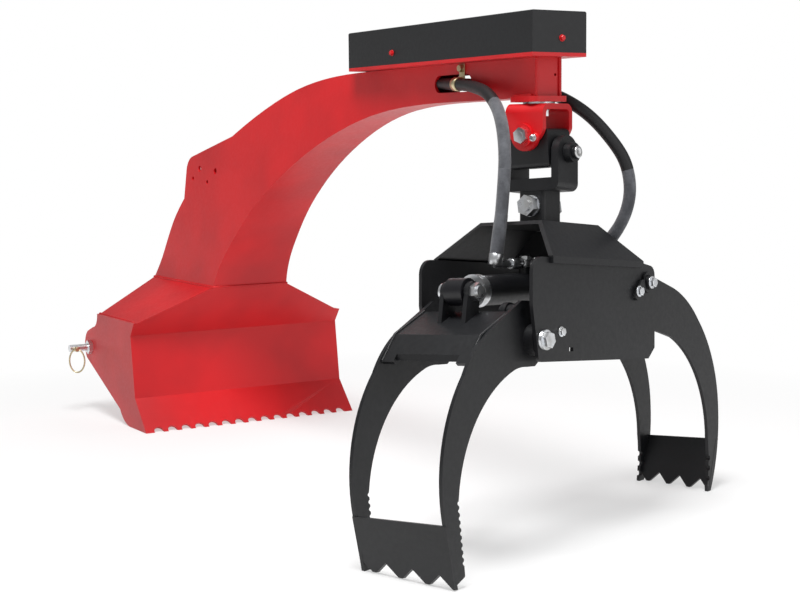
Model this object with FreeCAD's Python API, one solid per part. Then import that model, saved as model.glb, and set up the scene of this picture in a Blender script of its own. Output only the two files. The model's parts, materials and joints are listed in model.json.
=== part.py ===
"""Log grapple for a tractor's three-point hitch, built as separate steel pieces, in millimetres.

The boom frame is drawn with X from the hitch towards the free end, Y to the left of the tractor
as seen from the blade side, and Z up.  The grapple head is drawn in its own upright frame whose
Z axis is the swivel axis and is then turned about its three hanging joints into its resting
stance.  At the end everything is moved so that the middle of the footprint is the origin.
"""
import FreeCAD
import Part
import math
import os

V = FreeCAD.Vector

# ---------------------------------------------------------------- driving dimensions
HITCH_WIDTH = 683.0
SIDE_T = 10.0
BLADE_T = 8.0
DECK_Z = 412.0
DECK_HALF = 120.0
DECK_REAR = -361.0
BLADE_TOP = (93.0, 412.0)
BLADE_BEND_HIGH = (-10.0, 273.0)
BLADE_BEND_LOW = (14.0, 91.0)
BLADE_TOE = (96.0, 0.0)
SIDE_TOP_Z = 307.0
SIDE_REAR_X = -289.0
TOOTH_COUNT = 15
TOOTH_R = 11.5
LUG_X = -352.0
LUG_Z = 203.0
LUG_R = 55.0
HITCH_PIN_R = 11.0
HITCH_PIN_OUT = 70.0

BOOM_T = 8.0
BOOM_END_X = 1568.0
BOOM_END_HALF = 31.0
BOX_X0 = 838.0
BOX_X1 = 1618.0
BOX_HALF = 70.0
BOX_Z0 = 1017.0
BOX_Z1 = 1104.0
BOX_T = 3.0

SWIVEL_X = 1545.0
SWIVEL_YAW = 19.5
SWING_FORE = -3.8
SWING_SIDE = -5.6
FLANGE_Z0 = 916.0
FLANGE_Z1 = 928.0
HANGER_TOP = 912.0
HANGER_T = 12.0
HANGER_HALF_X = 48.0
HANGER_HALF_Y = 56.0
PIN_A_Z = 845.0
PIN_B_Z = 803.0
SWING_PIN_R = 14.0
YOKE_HALF_X = 72.0
YOKE_EAR_T = 18.0
YOKE_HALF_Y = 37.5
YOKE_WEB_Z0 = 724.0
YOKE_WEB_Z1 = 750.0
COLLAR = 66.0
COLLAR_T = 7.0
ROOF_Z = 655.0
RUN_FIT = 0.06

HEAD_PLATE_T = 8.0
HEAD_HALF_X = 144.0
HEAD_HALF_Y = 234.0
HEAD_TOP_Z = 575.0
HEAD_LOW_Z = 366.0
ROOF_TOP_X = 78.0
ROOF_TOP_Y = 107.0
ROOF_LOW_Y = 174.0
LEFT_PIVOT = (-194.0, 410.0)
RIGHT_PIVOT = (201.0, 532.0)
LEFT_JAW_X = 115.0
RIGHT_JAW_X = 97.0
JAW_T = 8.0
ROD_PIN = (-280.0, 505.0)
LINK_LEFT = (-225.3, 463.5)
LINK_RIGHT = (164.8, 470.4)
LINK_X0 = 72.0
LINK_X1 = 84.0
LINK_CLEAR = 6.0
ROD_CLEAR = 5.5
BARREL_R = 31.5
GLAND_R = 34.0
ROD_R = 16.0
PIVOT_R = 20.0
UPPER_PIN_R = 16.0

NODES = {}


# ---------------------------------------------------------------- small helpers
def face_of(points):
    """Flat face from a closed list of corner points."""
    return Part.Face(Part.makePolygon(list(points) + [points[0]]))


def slab_x(points, x0, x1):
    """Plate standing across X, its outline given as (y, z) pairs."""
    return face_of([V(x0, y, z) for y, z in points]).extrude(V(x1 - x0, 0, 0))


def slab_y(points, y0, y1):
    """Plate standing across Y, its outline given as (x, z) pairs."""
    return face_of([V(x, y0, z) for x, z in points]).extrude(V(0, y1 - y0, 0))


def box(x0, x1, y0, y1, z0, z1):
    """Block between two corners."""
    return Part.makeBox(x1 - x0, y1 - y0, z1 - z0, V(x0, y0, z0))


def rod_x(x0, x1, at, r):
    """Round bar along X through the point at = (y, z)."""
    return Part.makeCylinder(r, x1 - x0, V(x0, at[0], at[1]), V(1, 0, 0))


def rod_y(y0, y1, at, r):
    """Round bar along Y through the point at = (x, z)."""
    return Part.makeCylinder(r, y1 - y0, V(at[0], y0, at[1]), V(0, 1, 0))


def rod_z(z0, z1, at, r):
    """Round bar along Z through the point at = (x, y)."""
    return Part.makeCylinder(r, z1 - z0, V(at[0], at[1], z0), V(0, 0, 1))


def hexagon(centre, axis, across, height):
    """Hexagonal bar of the given width across flats, growing from centre along axis."""
    axis = V(axis).normalize()
    side = axis.cross(V(0.31, 0.53, 0.79)).normalize()
    other = axis.cross(side)
    r = across / math.sqrt(3.0)
    ring = []
    for i in range(6):
        a = math.radians(60 * i)
        ring.append(V(centre) + side * (r * math.cos(a)) + other * (r * math.sin(a)))
    return face_of(ring).extrude(axis * height)


def bolt_head(centre, axis, across, height, washer_r=0.0, washer_t=2.5):
    """Hexagon head on a washer, standing on a surface at centre."""
    axis = V(axis).normalize()
    start = V(centre)
    solid = None
    if washer_r > 0:
        solid = Part.makeCylinder(washer_r, washer_t, start, axis)
        start = start + axis * washer_t
    head = hexagon(start, axis, across, height)
    return head if solid is None else solid.fuse(head).removeSplitter()


def path_wire(start, steps, place):
    """Closed outline of straight steps ("L", point) and arcs ("A", via, point)."""
    edges = []
    here = start
    for step in steps:
        if step[0] == "L":
            edges.append(Part.LineSegment(place(here), place(step[1])).toShape())
            here = step[1]
        else:
            edges.append(Part.Arc(place(here), place(step[1]), place(step[2])).toShape())
            here = step[2]
    return Part.Wire(edges)


def plate_yz(start, steps, x0, x1):
    """Plate across X with an outline of lines and arcs in (y, z)."""
    wire = path_wire(start, steps, lambda p: V(x0, p[0], p[1]))
    return Part.Face(wire).extrude(V(x1 - x0, 0, 0))


def plate_xz(start, steps, y0, y1):
    """Plate across Y with an outline of lines and arcs in (x, z)."""
    wire = path_wire(start, steps, lambda p: V(p[0], y0, p[1]))
    return Part.Face(wire).extrude(V(0, y1 - y0, 0))


def mirror_x(shape):
    """Copy on the other side of the plane X = 0."""
    return shape.mirror(V(0, 0, 0), V(1, 0, 0))


def mirror_y(shape):
    """Copy on the other side of the plane Y = 0."""
    return shape.mirror(V(0, 0, 0), V(0, 1, 0))


def add(name, frame, *shapes):
    """Keep one named piece, or one group of like pieces, in its frame."""
    solids = []
    for shape in shapes:
        for solid in shape.Solids:
            solids.append(solid)
    NODES[name] = (frame, Part.makeCompound(solids) if len(solids) > 1 else solids[0])


# ---------------------------------------------------------------- hanging joints
def turn(centre, axis, degrees):
    """Placement that turns about an axis through centre."""
    rotation = FreeCAD.Rotation(V(axis), degrees)
    return FreeCAD.Placement(V(0, 0, 0), rotation, V(centre))


PLACE_BOOM = FreeCAD.Placement()
PLACE_HANGER = FreeCAD.Placement(V(SWIVEL_X, 0, 0), FreeCAD.Rotation(V(0, 0, 1), SWIVEL_YAW))
PLACE_CROSS = PLACE_HANGER.multiply(turn((0, 0, PIN_A_Z), (0, 1, 0), SWING_FORE))
PLACE_HEAD = PLACE_CROSS.multiply(turn((0, 0, PIN_B_Z), (1, 0, 0), SWING_SIDE))
FRAMES = {"boom": PLACE_BOOM, "hanger": PLACE_HANGER, "cross": PLACE_CROSS, "head": PLACE_HEAD}


# ---------------------------------------------------------------- blade frame
def build_frame():
    """Side plates, toothed blade, shoulders and deck that carry the boom."""
    half = HITCH_WIDTH / 2
    inner = half - SIDE_T
    profile = [BLADE_TOP, BLADE_BEND_HIGH, BLADE_BEND_LOW, BLADE_TOE]
    back = offset_line(profile, BLADE_T)
    blade = slab_y(profile + back[::-1], -inner, inner)
    blade = blade.cut(box(-400, 400, -half, half, -60, 0)).cut(box(-400, 400, -half, half, DECK_Z, 500))
    for sign in (-1, 1):
        y_far = sign * (half + 5)
        z_far = DECK_Z - shoulder_fall(half + 5)
        wedge = [V(-60, sign * DECK_HALF, DECK_Z), V(-60, y_far, z_far), V(-60, y_far, DECK_Z + 20)]
        wedge.append(V(-60, sign * DECK_HALF, DECK_Z + 20))
        blade = blade.cut(face_of(wedge).extrude(V(260, 0, 0)))
    pitch = (2 * inner - 20) / TOOTH_COUNT
    nx, nz = unit(BLADE_BEND_LOW, BLADE_TOE)
    for i in range(TOOTH_COUNT):
        y = -inner + 10 + pitch * (i + 0.5)
        foot = V(BLADE_TOE[0] - nz * 45, y, nx * 45)
        blade = blade.cut(Part.makeCylinder(TOOTH_R, 90, foot, V(nz, 0, -nx)))
    add("blade", "boom", blade)

    shoulders = []
    for sign in (-1, 1):
        y1 = sign * DECK_HALF
        y2 = sign * half
        z2 = DECK_Z - shoulder_fall(half)
        corners = [V(DECK_REAR, y1, DECK_Z), V(BLADE_TOP[0] - 5, y1, DECK_Z)]
        corners += [V(blade_x(z2) - 5, y2, z2), V(SIDE_REAR_X, y2, z2)]
        fall = shoulder_fall(half) / (half - DECK_HALF)
        down = V(0, -sign * fall, -1).normalize() * 8.0
        shoulder = face_of(corners).extrude(down)
        shoulder = shoulder.cut(blade).cut(box(-500, 300, -DECK_HALF, DECK_HALF, 300, 500))
        shoulders.append(biggest(shoulder))
    add("shoulder_plates", "boom", *shoulders)

    outline_start = (SIDE_REAR_X, SIDE_TOP_Z + 6)
    steps = [("L", (blade_x(SIDE_TOP_Z + 6), SIDE_TOP_Z + 6)), ("L", BLADE_BEND_HIGH), ("L", BLADE_BEND_LOW)]
    steps += [("L", BLADE_TOE), ("L", (-20.0, 0.0)), ("A", (-72.0, 9.0), (-112.0, 42.0))]
    lug_low = (LUG_X + LUG_R * math.cos(math.radians(222)), LUG_Z + LUG_R * math.sin(math.radians(222)))
    lug_high = (LUG_X + LUG_R * math.cos(math.radians(118)), LUG_Z + LUG_R * math.sin(math.radians(118)))
    steps += [("L", lug_low), ("A", (LUG_X - LUG_R, LUG_Z), lug_high)]
    steps += [("L", (SIDE_REAR_X - 40, 268.0)), ("A", (SIDE_REAR_X - 9, 284.0), outline_start)]
    side = plate_xz(outline_start, steps, -half, -inner)
    side = side.cut(shoulders[0])
    side = biggest(side.cut(rod_y(-half - 5, -inner + 5, (LUG_X, LUG_Z), HITCH_PIN_R + 2)))
    add("side_plates", "boom", side, mirror_y(side))

    deck = box(DECK_REAR, BLADE_TOP[0] - 2, -DECK_HALF, DECK_HALF, DECK_Z - 8, DECK_Z).cut(blade)
    add("deck_plate", "boom", biggest(deck))
    ribs = []
    for sign in (-1, 1):
        rib = slab_y([(-320, DECK_Z - 8), (60, DECK_Z - 8), (-30, 272), (-20, 130), (-110, 130), (-320, 330)],
                     sign * 92, sign * 100)
        ribs.append(biggest(rib.cut(blade)))
    add("deck_ribs", "boom", *ribs)
    tube = box(-262, -202, -inner, inner, 205, 265).cut(box(-257, -207, -inner, inner, 210, 260))
    tube = tube.cut(ribs[0]).cut(ribs[1])
    add("rear_cross_tube", "boom", biggest(tube))

    pins = []
    for sign in (-1, 1):
        pin = rod_y(half + 10, half + HITCH_PIN_OUT, (LUG_X, LUG_Z), HITCH_PIN_R)
        pin = pin.fuse(hexagon((LUG_X, half, LUG_Z), (0, 1, 0), 38, 12))
        pin = pin.fuse(rod_y(inner - 12, half + 1, (LUG_X, LUG_Z), HITCH_PIN_R + 2))
        pin = pin.fuse(hexagon((LUG_X, inner, LUG_Z), (0, -1, 0), 40, 14))
        pin = pin.cut(rod_x(LUG_X - 30, LUG_X + 30, (half + HITCH_PIN_OUT - 14, LUG_Z), 5.1))
        pins.append(pin.removeSplitter() if sign > 0 else mirror_y(pin.removeSplitter()))
    add("hitch_pins", "boom", *pins)


def unit(a, b):
    """Unit direction from a to b in the plane."""
    length = math.hypot(b[0] - a[0], b[1] - a[1])
    return (b[0] - a[0]) / length, (b[1] - a[1]) / length


def offset_line(points, distance):
    """Open line moved sideways by a distance, to the rear of the blade."""
    result = []
    for i, p in enumerate(points):
        dirs = []
        if i > 0:
            dirs.append(unit(points[i - 1], p))
        if i < len(points) - 1:
            dirs.append(unit(p, points[i + 1]))
        nx = sum(d[1] for d in dirs) / len(dirs)
        nz = -sum(d[0] for d in dirs) / len(dirs)
        length = math.hypot(nx, nz)
        scale = distance / (length * length)
        result.append((p[0] + nx * scale, p[1] + nz * scale))
    return result


def shoulder_fall(y):
    """How far the shoulder plate has dropped at a distance y from the middle."""
    return (y - DECK_HALF) * (DECK_Z - SIDE_TOP_Z) / (HITCH_WIDTH / 2 - DECK_HALF)


def blade_x(z):
    """X of the front of the blade's top panel at height z."""
    t = (z - BLADE_BEND_HIGH[1]) / (BLADE_TOP[1] - BLADE_BEND_HIGH[1])
    return BLADE_BEND_HIGH[0] + t * (BLADE_TOP[0] - BLADE_BEND_HIGH[0])


def biggest(shape):
    """The largest solid of a shape."""
    return sorted(shape.Solids, key=lambda s: s.Volume)[-1]


# ---------------------------------------------------------------- boom
STATIONS = [
    ((93, 412), (-361, 412), 120),
    ((128, 478), (-312, 475), 113),
    ((196, 552), (-232, 595), 104),
    ((285, 630), (-128, 693), 94),
    ((398, 706), (8, 786), 83),
    ((522, 772), (168, 862), 72),
    ((655, 828), (340, 925), 62),
    ((795, 873), (525, 976), 52),
    ((935, 903), (722, 1002), 43),
    ((1080, 918), (960, 1008), 36),
    ((1250, 923), (1210, 1009), 31),
    ((1568, 928), (1568, 1009), 31),
]


def station_quads(y_from, y_to, reach_in, reach_out):
    """Cross-section frames of the tapering boom between two sideways faces."""
    sections = []
    for inner, outer, half in STATIONS:
        ex, ez = unit(inner, outer)
        low = (inner[0] - ex * reach_in, inner[1] - ez * reach_in)
        high = (outer[0] + ex * reach_out, outer[1] + ez * reach_out)
        a = y_from(half)
        b = y_to(half)
        ring = [V(low[0], a, low[1]), V(high[0], a, high[1]), V(high[0], b, high[1]), V(low[0], b, low[1])]
        sections.append(Part.makePolygon(ring + [ring[0]]))
    return sections


def curve_through(points, y):
    """Smooth edge through (x, z) points at a given Y."""
    curve = Part.BSplineCurve()
    curve.interpolate([V(p[0], y, p[1]) for p in points])
    return curve.toShape()


def curved_plate(points_a, points_b, y0, y1):
    """Plate across Y between two smooth lines joined at their ends."""
    a = curve_through(points_a, y0)
    b = curve_through(points_b, y0)
    first = Part.LineSegment(V(points_b[0][0], y0, points_b[0][1]), V(points_a[0][0], y0, points_a[0][1])).toShape()
    last = Part.LineSegment(V(points_a[-1][0], y0, points_a[-1][1]), V(points_b[-1][0], y0, points_b[-1][1])).toShape()
    wire = Part.Wire(Part.__sortEdges__([a, last, b, first]))
    return Part.Face(wire).extrude(V(0, y1 - y0, 0))


def moved_line(points, distance):
    """Smooth line moved sideways by a distance."""
    result = []
    for i, p in enumerate(points):
        a = points[max(i - 1, 0)]
        b = points[min(i + 1, len(points) - 1)]
        dx, dz = unit(a, b)
        if i == 0:
            result.append((p[0] + distance / dz * (1 if dz > 0 else -1) if abs(dz) > 0.5 else p[0], p[1]))
        elif i == len(points) - 1:
            result.append((p[0], p[1] + distance))
        else:
            result.append((p[0] - dz * distance, p[1] + dx * distance))
    return result


def build_boom():
    """Curved box boom with its top-link ears, end plate and slot for the hoses."""
    inner_line = [s[0] for s in STATIONS]
    outer_line = [s[1] for s in STATIONS]
    inner_up = moved_line(inner_line, BOOM_T)
    inner_up[0] = (inner_line[0][0] - 9, DECK_Z)
    outer_down = moved_line(outer_line, -BOOM_T)
    outer_down[0] = (outer_line[0][0] + 9, DECK_Z)
    skin = Part.makeLoft(station_quads(lambda h: -h, lambda h: -h + BOOM_T, 30, 120), True, True)
    core = Part.makeLoft(station_quads(lambda h: -h + BOOM_T, lambda h: h - BOOM_T, 30, 30), True, True)
    side = curved_plate(inner_line, outer_line, -140, 0)
    ear_steps = [("L", (-158, 745)), ("A", (-149, 776), (-123, 793)), ("L", (160, 856))]
    ear_steps += [("L", (60, 700)), ("L", (-100, 640)), ("L", (-162, 667))]
    ear = plate_xz((-162, 667), ear_steps, -140, 0)
    side = side.fuse(ear).common(skin)
    side = side.cut(box(-500, 300, -200, 200, 300, DECK_Z))
    for x, z, r in EAR_HOLES:
        side = side.cut(rod_y(-150, 0, (x, z), r))
    plain = biggest(side)
    slot = box(SLOT_X0 + SLOT_R, SLOT_X1 - SLOT_R, -60, 0, SLOT_Z - SLOT_R, SLOT_Z + SLOT_R)
    slot = slot.fuse(rod_y(-60, 0, (SLOT_X0 + SLOT_R, SLOT_Z), SLOT_R))
    slot = slot.fuse(rod_y(-60, 0, (SLOT_X1 - SLOT_R, SLOT_Z), SLOT_R))
    slotted = biggest(plain.cut(slot).cut(rod_y(-60, 0, (CLAMP_X, CLAMP_BOLT_Z), 5)))
    add("boom_side_right", "boom", slotted)
    add("boom_side_left", "boom", mirror_y(slotted))
    kingpin = rod_z(FLANGE_Z0 - 60, 978, (SWIVEL_X, 0), 16)
    under = curved_plate(inner_line, inner_up, -140, 140).common(core)
    under = biggest(under.cut(kingpin))
    over = biggest(curved_plate(outer_down, outer_line, -140, 140).common(core))
    add("boom_under_plate", "boom", under)
    add("boom_over_plate", "boom", over)
    end = box(BOOM_END_X, BOOM_END_X + 8, -BOOM_END_HALF, BOOM_END_HALF, FLANGE_Z1, 1009)
    end = end.cut(rod_x(BOOM_END_X - 1, BOOM_END_X + 9, (20, 973), 3))
    add("boom_end_plate", "boom", end)
    flange = box(SWIVEL_X - 50, BOOM_END_X + 22, -48, 48, FLANGE_Z0, FLANGE_Z1)
    flange = flange.makeFillet(18, [e for e in flange.Edges if abs(e.Vertexes[0].Z - e.Vertexes[1].Z) > 5])
    flange = flange.cut(rod_z(FLANGE_Z0 - 60, 978, (SWIVEL_X, 0), 16))
    flange = flange.cut(under).cut(slotted).cut(mirror_y(slotted))
    add("swivel_flange", "boom", biggest(flange))


SLOT_X0 = 1180.0
SLOT_X1 = 1332.0
SLOT_Z = 965.0
SLOT_R = 20.0
CLAMP_X = 1296.0
CLAMP_BOLT_Z = 998.0
EAR_HOLES = [(-63.0, 757.0, 9.5), (47.0, 751.0, 9.5), (-106.0, 727.0, 6.5), (-4.0, 718.0, 6.5)]


def build_box():
    """Black sheet cover on the boom with its red foot plate and bolts."""
    outer = box(BOX_X0, BOX_X1, -BOX_HALF, BOX_HALF, BOX_Z0, BOX_Z1)
    outer = outer.makeFillet(4, [e for e in outer.Edges if e.BoundBox.ZMin > BOX_Z1 - 1])
    cover = outer.cut(box(BOX_X0 + BOX_T, BOX_X1 - BOX_T, -BOX_HALF + BOX_T, BOX_HALF - BOX_T, BOX_Z0 - 1, BOX_Z1 - BOX_T))
    foot = box(BOX_X0, BOX_X1, -BOX_HALF, BOX_HALF, 1009, BOX_Z0)
    low = curved_plate([s[1] for s in STATIONS[5:]], [(s[1][0], s[1][1] - 60) for s in STATIONS[5:]], -140, 140)
    foot = foot.cut(low)
    add("box_foot_plate", "boom", biggest(foot))
    add("box_cover", "boom", biggest(cover))
    bolts = []
    for sign in (-1, 1):
        for x in (1051.0, 1405.0):
            bolts.append(bolt_head((x, sign * BOX_HALF, 1044), (0, sign, 0), 17, 8, 11, 2))
    bolts.append(bolt_head((BOX_X1, 6, 1047), (1, 0, 0), 17, 8, 11, 2))
    bolts.append(bolt_head((BOX_X0, 6, 1047), (-1, 0, 0), 17, 8, 11, 2))
    add("box_bolts", "boom", *bolts)


# ---------------------------------------------------------------- swivel, hanger, cross link, yoke
def build_swivel():
    """Kingpin, hanger, crossed swing pins and the yoke below them."""
    top = HANGER_TOP
    pin = rod_z(886, 976, (SWIVEL_X, 0), 16)
    nut = hexagon((SWIVEL_X, 0, 886), (0, 0, 1), 38, 12)
    washer = rod_z(898, 900 - 0.3, (SWIVEL_X, 0), 24)
    thrust = rod_z(top + 0.3, FLANGE_Z0, (SWIVEL_X, 0), 34)
    pin = pin.fuse(nut).fuse(washer).fuse(thrust).removeSplitter()
    add("kingpin", "boom", pin)

    hx = HANGER_HALF_X
    hy = HANGER_HALF_Y
    t = HANGER_T
    arch = box(-hx, hx, -hy, hy, 780, top)
    arch = arch.makeFillet(20, [e for e in arch.Edges if e.BoundBox.ZMin > top - 1 and e.BoundBox.XLength > 50])
    hollow = box(-hx - 1, hx + 1, -hy + t, hy - t, 700, top - t)
    hollow = hollow.makeFillet(9, [e for e in hollow.Edges if e.BoundBox.ZMin > top - t - 1 and e.BoundBox.XLength > 50])
    arch = arch.cut(hollow)
    steps = [("L", (-hx, 885)), ("A", (-hx - 1.5, 868), (-32, PIN_A_Z - 10)), ("A", (0, PIN_A_Z - 33), (32, PIN_A_Z - 10))]
    steps += [("A", (hx + 1.5, 868), (hx, 885)), ("L", (hx, top)), ("L", (-hx, top))]
    outline = plate_xz((-hx, top), steps, -hy - 1, hy + 1)
    hanger = arch.common(outline)
    for sign in (-1, 1):
        y0 = min(sign * hy, sign * (hy + 8))
        hanger = hanger.fuse(rod_y(y0, y0 + 8, (0, PIN_A_Z), 25))
    hanger = hanger.cut(rod_y(-90, 90, (0, PIN_A_Z), SWING_PIN_R))
    hanger = hanger.cut(rod_z(880, 930, (0, 0), 16 + RUN_FIT))
    add("hanger", "hanger", hanger.removeSplitter())

    pin_a = rod_y(-hy - 10, hy + 10, (0, PIN_A_Z), SWING_PIN_R)
    pin_a = pin_a.fuse(hexagon((0, -hy - 8, PIN_A_Z), (0, -1, 0), 30, 9))
    pin_a = pin_a.fuse(rod_y(-hy - 18, -hy - 15, (0, PIN_A_Z), 8))
    pin_a = pin_a.fuse(hexagon((0, hy + 8, PIN_A_Z), (0, 1, 0), 30, 12))
    add("swing_pin_fore_aft", "hanger", pin_a.removeSplitter())
    block = box(-50, 50, -42, 42, 775, 857)
    block = block.makeFillet(10, [e for e in block.Edges if e.BoundBox.YLength > 60 or e.BoundBox.XLength > 60])
    notch = rod_x(-60, 60, (0, 768), 20)
    block = block.cut(notch)
    block = block.cut(rod_y(-60, 60, (0, PIN_A_Z), SWING_PIN_R + RUN_FIT))
    block = block.cut(rod_x(-60, 60, (0, PIN_B_Z), SWING_PIN_R))
    add("cross_link", "cross", biggest(block))

    e0 = YOKE_HALF_X - YOKE_EAR_T
    e1 = YOKE_HALF_X
    w = YOKE_HALF_Y
    yoke = box(-e1, e1, -w, w, YOKE_WEB_Z0, YOKE_WEB_Z1)
    yoke = yoke.makeFillet(16, [e for e in yoke.Edges if e.BoundBox.YLength > 60 and e.BoundBox.ZMax < YOKE_WEB_Z0 + 1])
    for sign in (-1, 1):
        x0 = min(sign * e0, sign * e1)
        ear = box(x0, x0 + YOKE_EAR_T, -w, w, YOKE_WEB_Z0 + 18, PIN_B_Z)
        ear = ear.fuse(rod_x(x0, x0 + YOKE_EAR_T, (0, PIN_B_Z), w))
        yoke = yoke.fuse(ear)
    yoke = yoke.cut(rod_x(-90, 90, (0, PIN_B_Z), SWING_PIN_R + RUN_FIT))
    shaft = box(-25.5, 25.5, -25.5, 25.5, ROOF_Z + 4, YOKE_WEB_Z0 + 1)
    yoke = yoke.fuse(shaft).cut(rod_y(-60, 60, (0, 692), 12.6))
    add("yoke", "head", yoke.removeSplitter())

    pin_b = rod_x(-e1 - 6, e1 + 24, (0, PIN_B_Z), SWING_PIN_R)
    pin_b = pin_b.fuse(rod_x(e1 + 0.4, e1 + 17, (0, PIN_B_Z), 21))
    pin_b = pin_b.fuse(rod_x(-e1 - 5, -e1 - 0.4, (0, PIN_B_Z), 22))
    add("swing_pin_sideways", "cross", pin_b.removeSplitter())

    c = COLLAR / 2
    collar = box(-c, c, -c, c, ROOF_Z, YOKE_WEB_Z0)
    collar = collar.makeFillet(8, [e for e in collar.Edges if e.BoundBox.ZLength > 30])
    collar = collar.cut(box(-c + COLLAR_T, c - COLLAR_T, -c + COLLAR_T, c - COLLAR_T, 600, 800))
    collar = collar.cut(rod_y(-60, 60, (0, 692), 12.6))
    add("collar", "head", collar)
    bolt = rod_y(-c - 26, c + 2, (0, 692), 12.5)
    bolt = bolt.fuse(hexagon((0, -c - 2.5, 692), (0, -1, 0), 40, 19)).fuse(rod_y(-c - 2.5, -c, (0, 692), 23))
    bolt = bolt.fuse(hexagon((0, c + 2.5, 692), (0, 1, 0), 40, 16)).fuse(rod_y(c, c + 2.5, (0, 692), 23))
    add("collar_bolt", "head", bolt.removeSplitter())


# ---------------------------------------------------------------- grapple head
def build_head():
    """Two side plates, folded roof, pivot pins and keepers of the grapple head."""
    b = HEAD_HALF_Y
    x0 = HEAD_HALF_X - HEAD_PLATE_T
    x1 = HEAD_HALF_X
    steps = [("L", (-b, 537)), ("L", (-b, 478)), ("L", (-b + 20, HEAD_LOW_Z + 10)), ("A", (-b + 24, HEAD_LOW_Z + 3), (-b + 32, HEAD_LOW_Z))]
    steps += [("L", (b - 26, HEAD_LOW_Z)), ("L", (b, HEAD_LOW_Z + 24)), ("L", (b, 548)), ("A", (b - 5, 562), (b - 18, 569))]
    steps += [("L", (ROOF_LOW_Y, HEAD_TOP_Z)), ("L", (-ROOF_LOW_Y, HEAD_TOP_Z))]
    plate = plate_yz((-ROOF_LOW_Y, HEAD_TOP_Z), steps, x0, x1)
    plate = plate.cut(rod_x(x0 - 5, x1 + 5, LEFT_PIVOT, PIVOT_R))
    plate = plate.cut(rod_x(x0 - 5, x1 + 5, RIGHT_PIVOT, UPPER_PIN_R))
    slot = box(x0 - 5, x1 + 5, -104, -90, 386, 394)
    near = biggest(plate.cut(slot))
    add("head_side_plates", "head", near, mirror_x(near))

    zt = ROOF_Z
    rise = (74.0, 78.0)
    length = math.hypot(*rise)
    shift = 8.0 * (length - rise[1]) / rise[0]
    outer = [(-152, 563), (-152, 577), (-78, zt), (78, zt), (152, 577), (152, 563)]
    inner = [(144, 563), (144, 573.7), (78 - shift, zt - 8), (shift - 78, zt - 8), (-144, 573.7), (-144, 563)]
    roof = face_of([V(x, -200, z) for x, z in outer + inner]).extrude(V(0, 400, 0))
    keep = [(-ROOF_LOW_Y, 550), (-ROOF_LOW_Y, 578), (-ROOF_TOP_Y, zt + 1), (ROOF_TOP_Y, zt + 1), (ROOF_LOW_Y, 578), (ROOF_LOW_Y, 550)]
    roof = roof.common(slab_x(keep, -200, 200))
    roof = biggest(roof.cut(near).cut(mirror_x(near)))
    add("head_roof", "head", roof)

    pins = []
    for sign in (1, -1):
        pin = rod_x(98, 158, LEFT_PIVOT, PIVOT_R).fuse(rod_x(144.3, 150, LEFT_PIVOT, 30))
        pin = pin.fuse(hexagon((150, LEFT_PIVOT[0], LEFT_PIVOT[1]), (1, 0, 0), 34, 11)).removeSplitter()
        pins.append(pin if sign > 0 else mirror_x(pin))
    add("lower_pivot_pins", "head", *pins)
    upper = rod_x(-156, 156, RIGHT_PIVOT, UPPER_PIN_R)
    for sign in (-1, 1):
        upper = upper.fuse(rod_x(min(sign * 144.3, sign * 150), max(sign * 144.3, sign * 150), RIGHT_PIVOT, 23))
    add("upper_pivot_pin", "head", upper.removeSplitter())
    keepers = []
    for sign in (1, -1):
        low = bolt_head((144, -134, 426), (1, 0, 0), 17, 9, 14, 3)
        high = bolt_head((144, 155, 512), (1, 0, 0), 17, 9, 14, 3)
        for one in (low, high):
            keepers.append(one if sign > 0 else mirror_x(one))
    bar = slab_x([(128, 520), (134, 514), (176, 546), (170, 552)], 144, 152)
    bar = bar.cut(rod_x(140, 160, (155, 512), 14)).cut(rod_x(140, 160, RIGHT_PIVOT, 23))
    add("keepers", "head", *keepers, biggest(bar), mirror_x(biggest(bar)))


# ---------------------------------------------------------------- jaws
def left_plate(x0, x1):
    """C-shaped plate of the wide jaw, pivoted low on the head."""
    start = (-230.0, 488.0)
    steps = [("L", (-338.0, 428.0)), ("A", (-376.0, 398.5), (-417.0, 343.0)), ("A", (-483.5, 161.0), (-419.0, -60.0))]
    steps += [("L", (-413.0, -60.0)), ("L", (-409.0, -30.0)), ("A", (-433.0, 40.0), (-431.0, 115.0)), ("A", (-386.0, 247.0), (-256.0, 350.0))]
    steps += [("A", (-236.0, 355.0), (-214.0, 356.0)), ("L", (-184.0, 357.0)), ("L", (-172.0, 366.0))]
    steps += [("A", (-147.0, 408.0), (-166.0, 452.0)), ("L", (-200.0, 488.0)), ("L", start)]
    return plate_yz(start, steps, x0, x1)


def right_plate(x0, x1):
    """C-shaped plate of the narrow jaw, pivoted high on the head."""
    start = (228.0, 566.0)
    steps = [("L", (330.0, 542.0)), ("L", (392.0, 526.0)), ("A", (460.0, 497.0), (515.0, 452.0)), ("A", (600.0, 318.0), (614.0, 236.0))]
    steps += [("A", (606.0, 130.0), (571.0, 34.0)), ("L", (563.0, 34.0)), ("L", (560.0, 60.0))]
    steps += [("A", (566.0, 115.0), (562.0, 171.0))]
    steps += [("A", (508.0, 325.0), (392.0, 411.0)), ("L", (300.0, 430.0)), ("L", (176.0, 438.0)), ("A", (133.0, 452.0), (136.0, 490.0))]
    steps += [("L", (162.0, 548.0)), ("A", (190.0, 573.0), (228.0, 566.0))]
    return plate_yz(start, steps, x0, x1)


def scallops(shape, points, r):
    """Small half-round bites along the inner edge near a jaw's tip."""
    for y, z in points:
        shape = shape.cut(rod_x(-160, 160, (y, z), r))
    return shape


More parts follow.
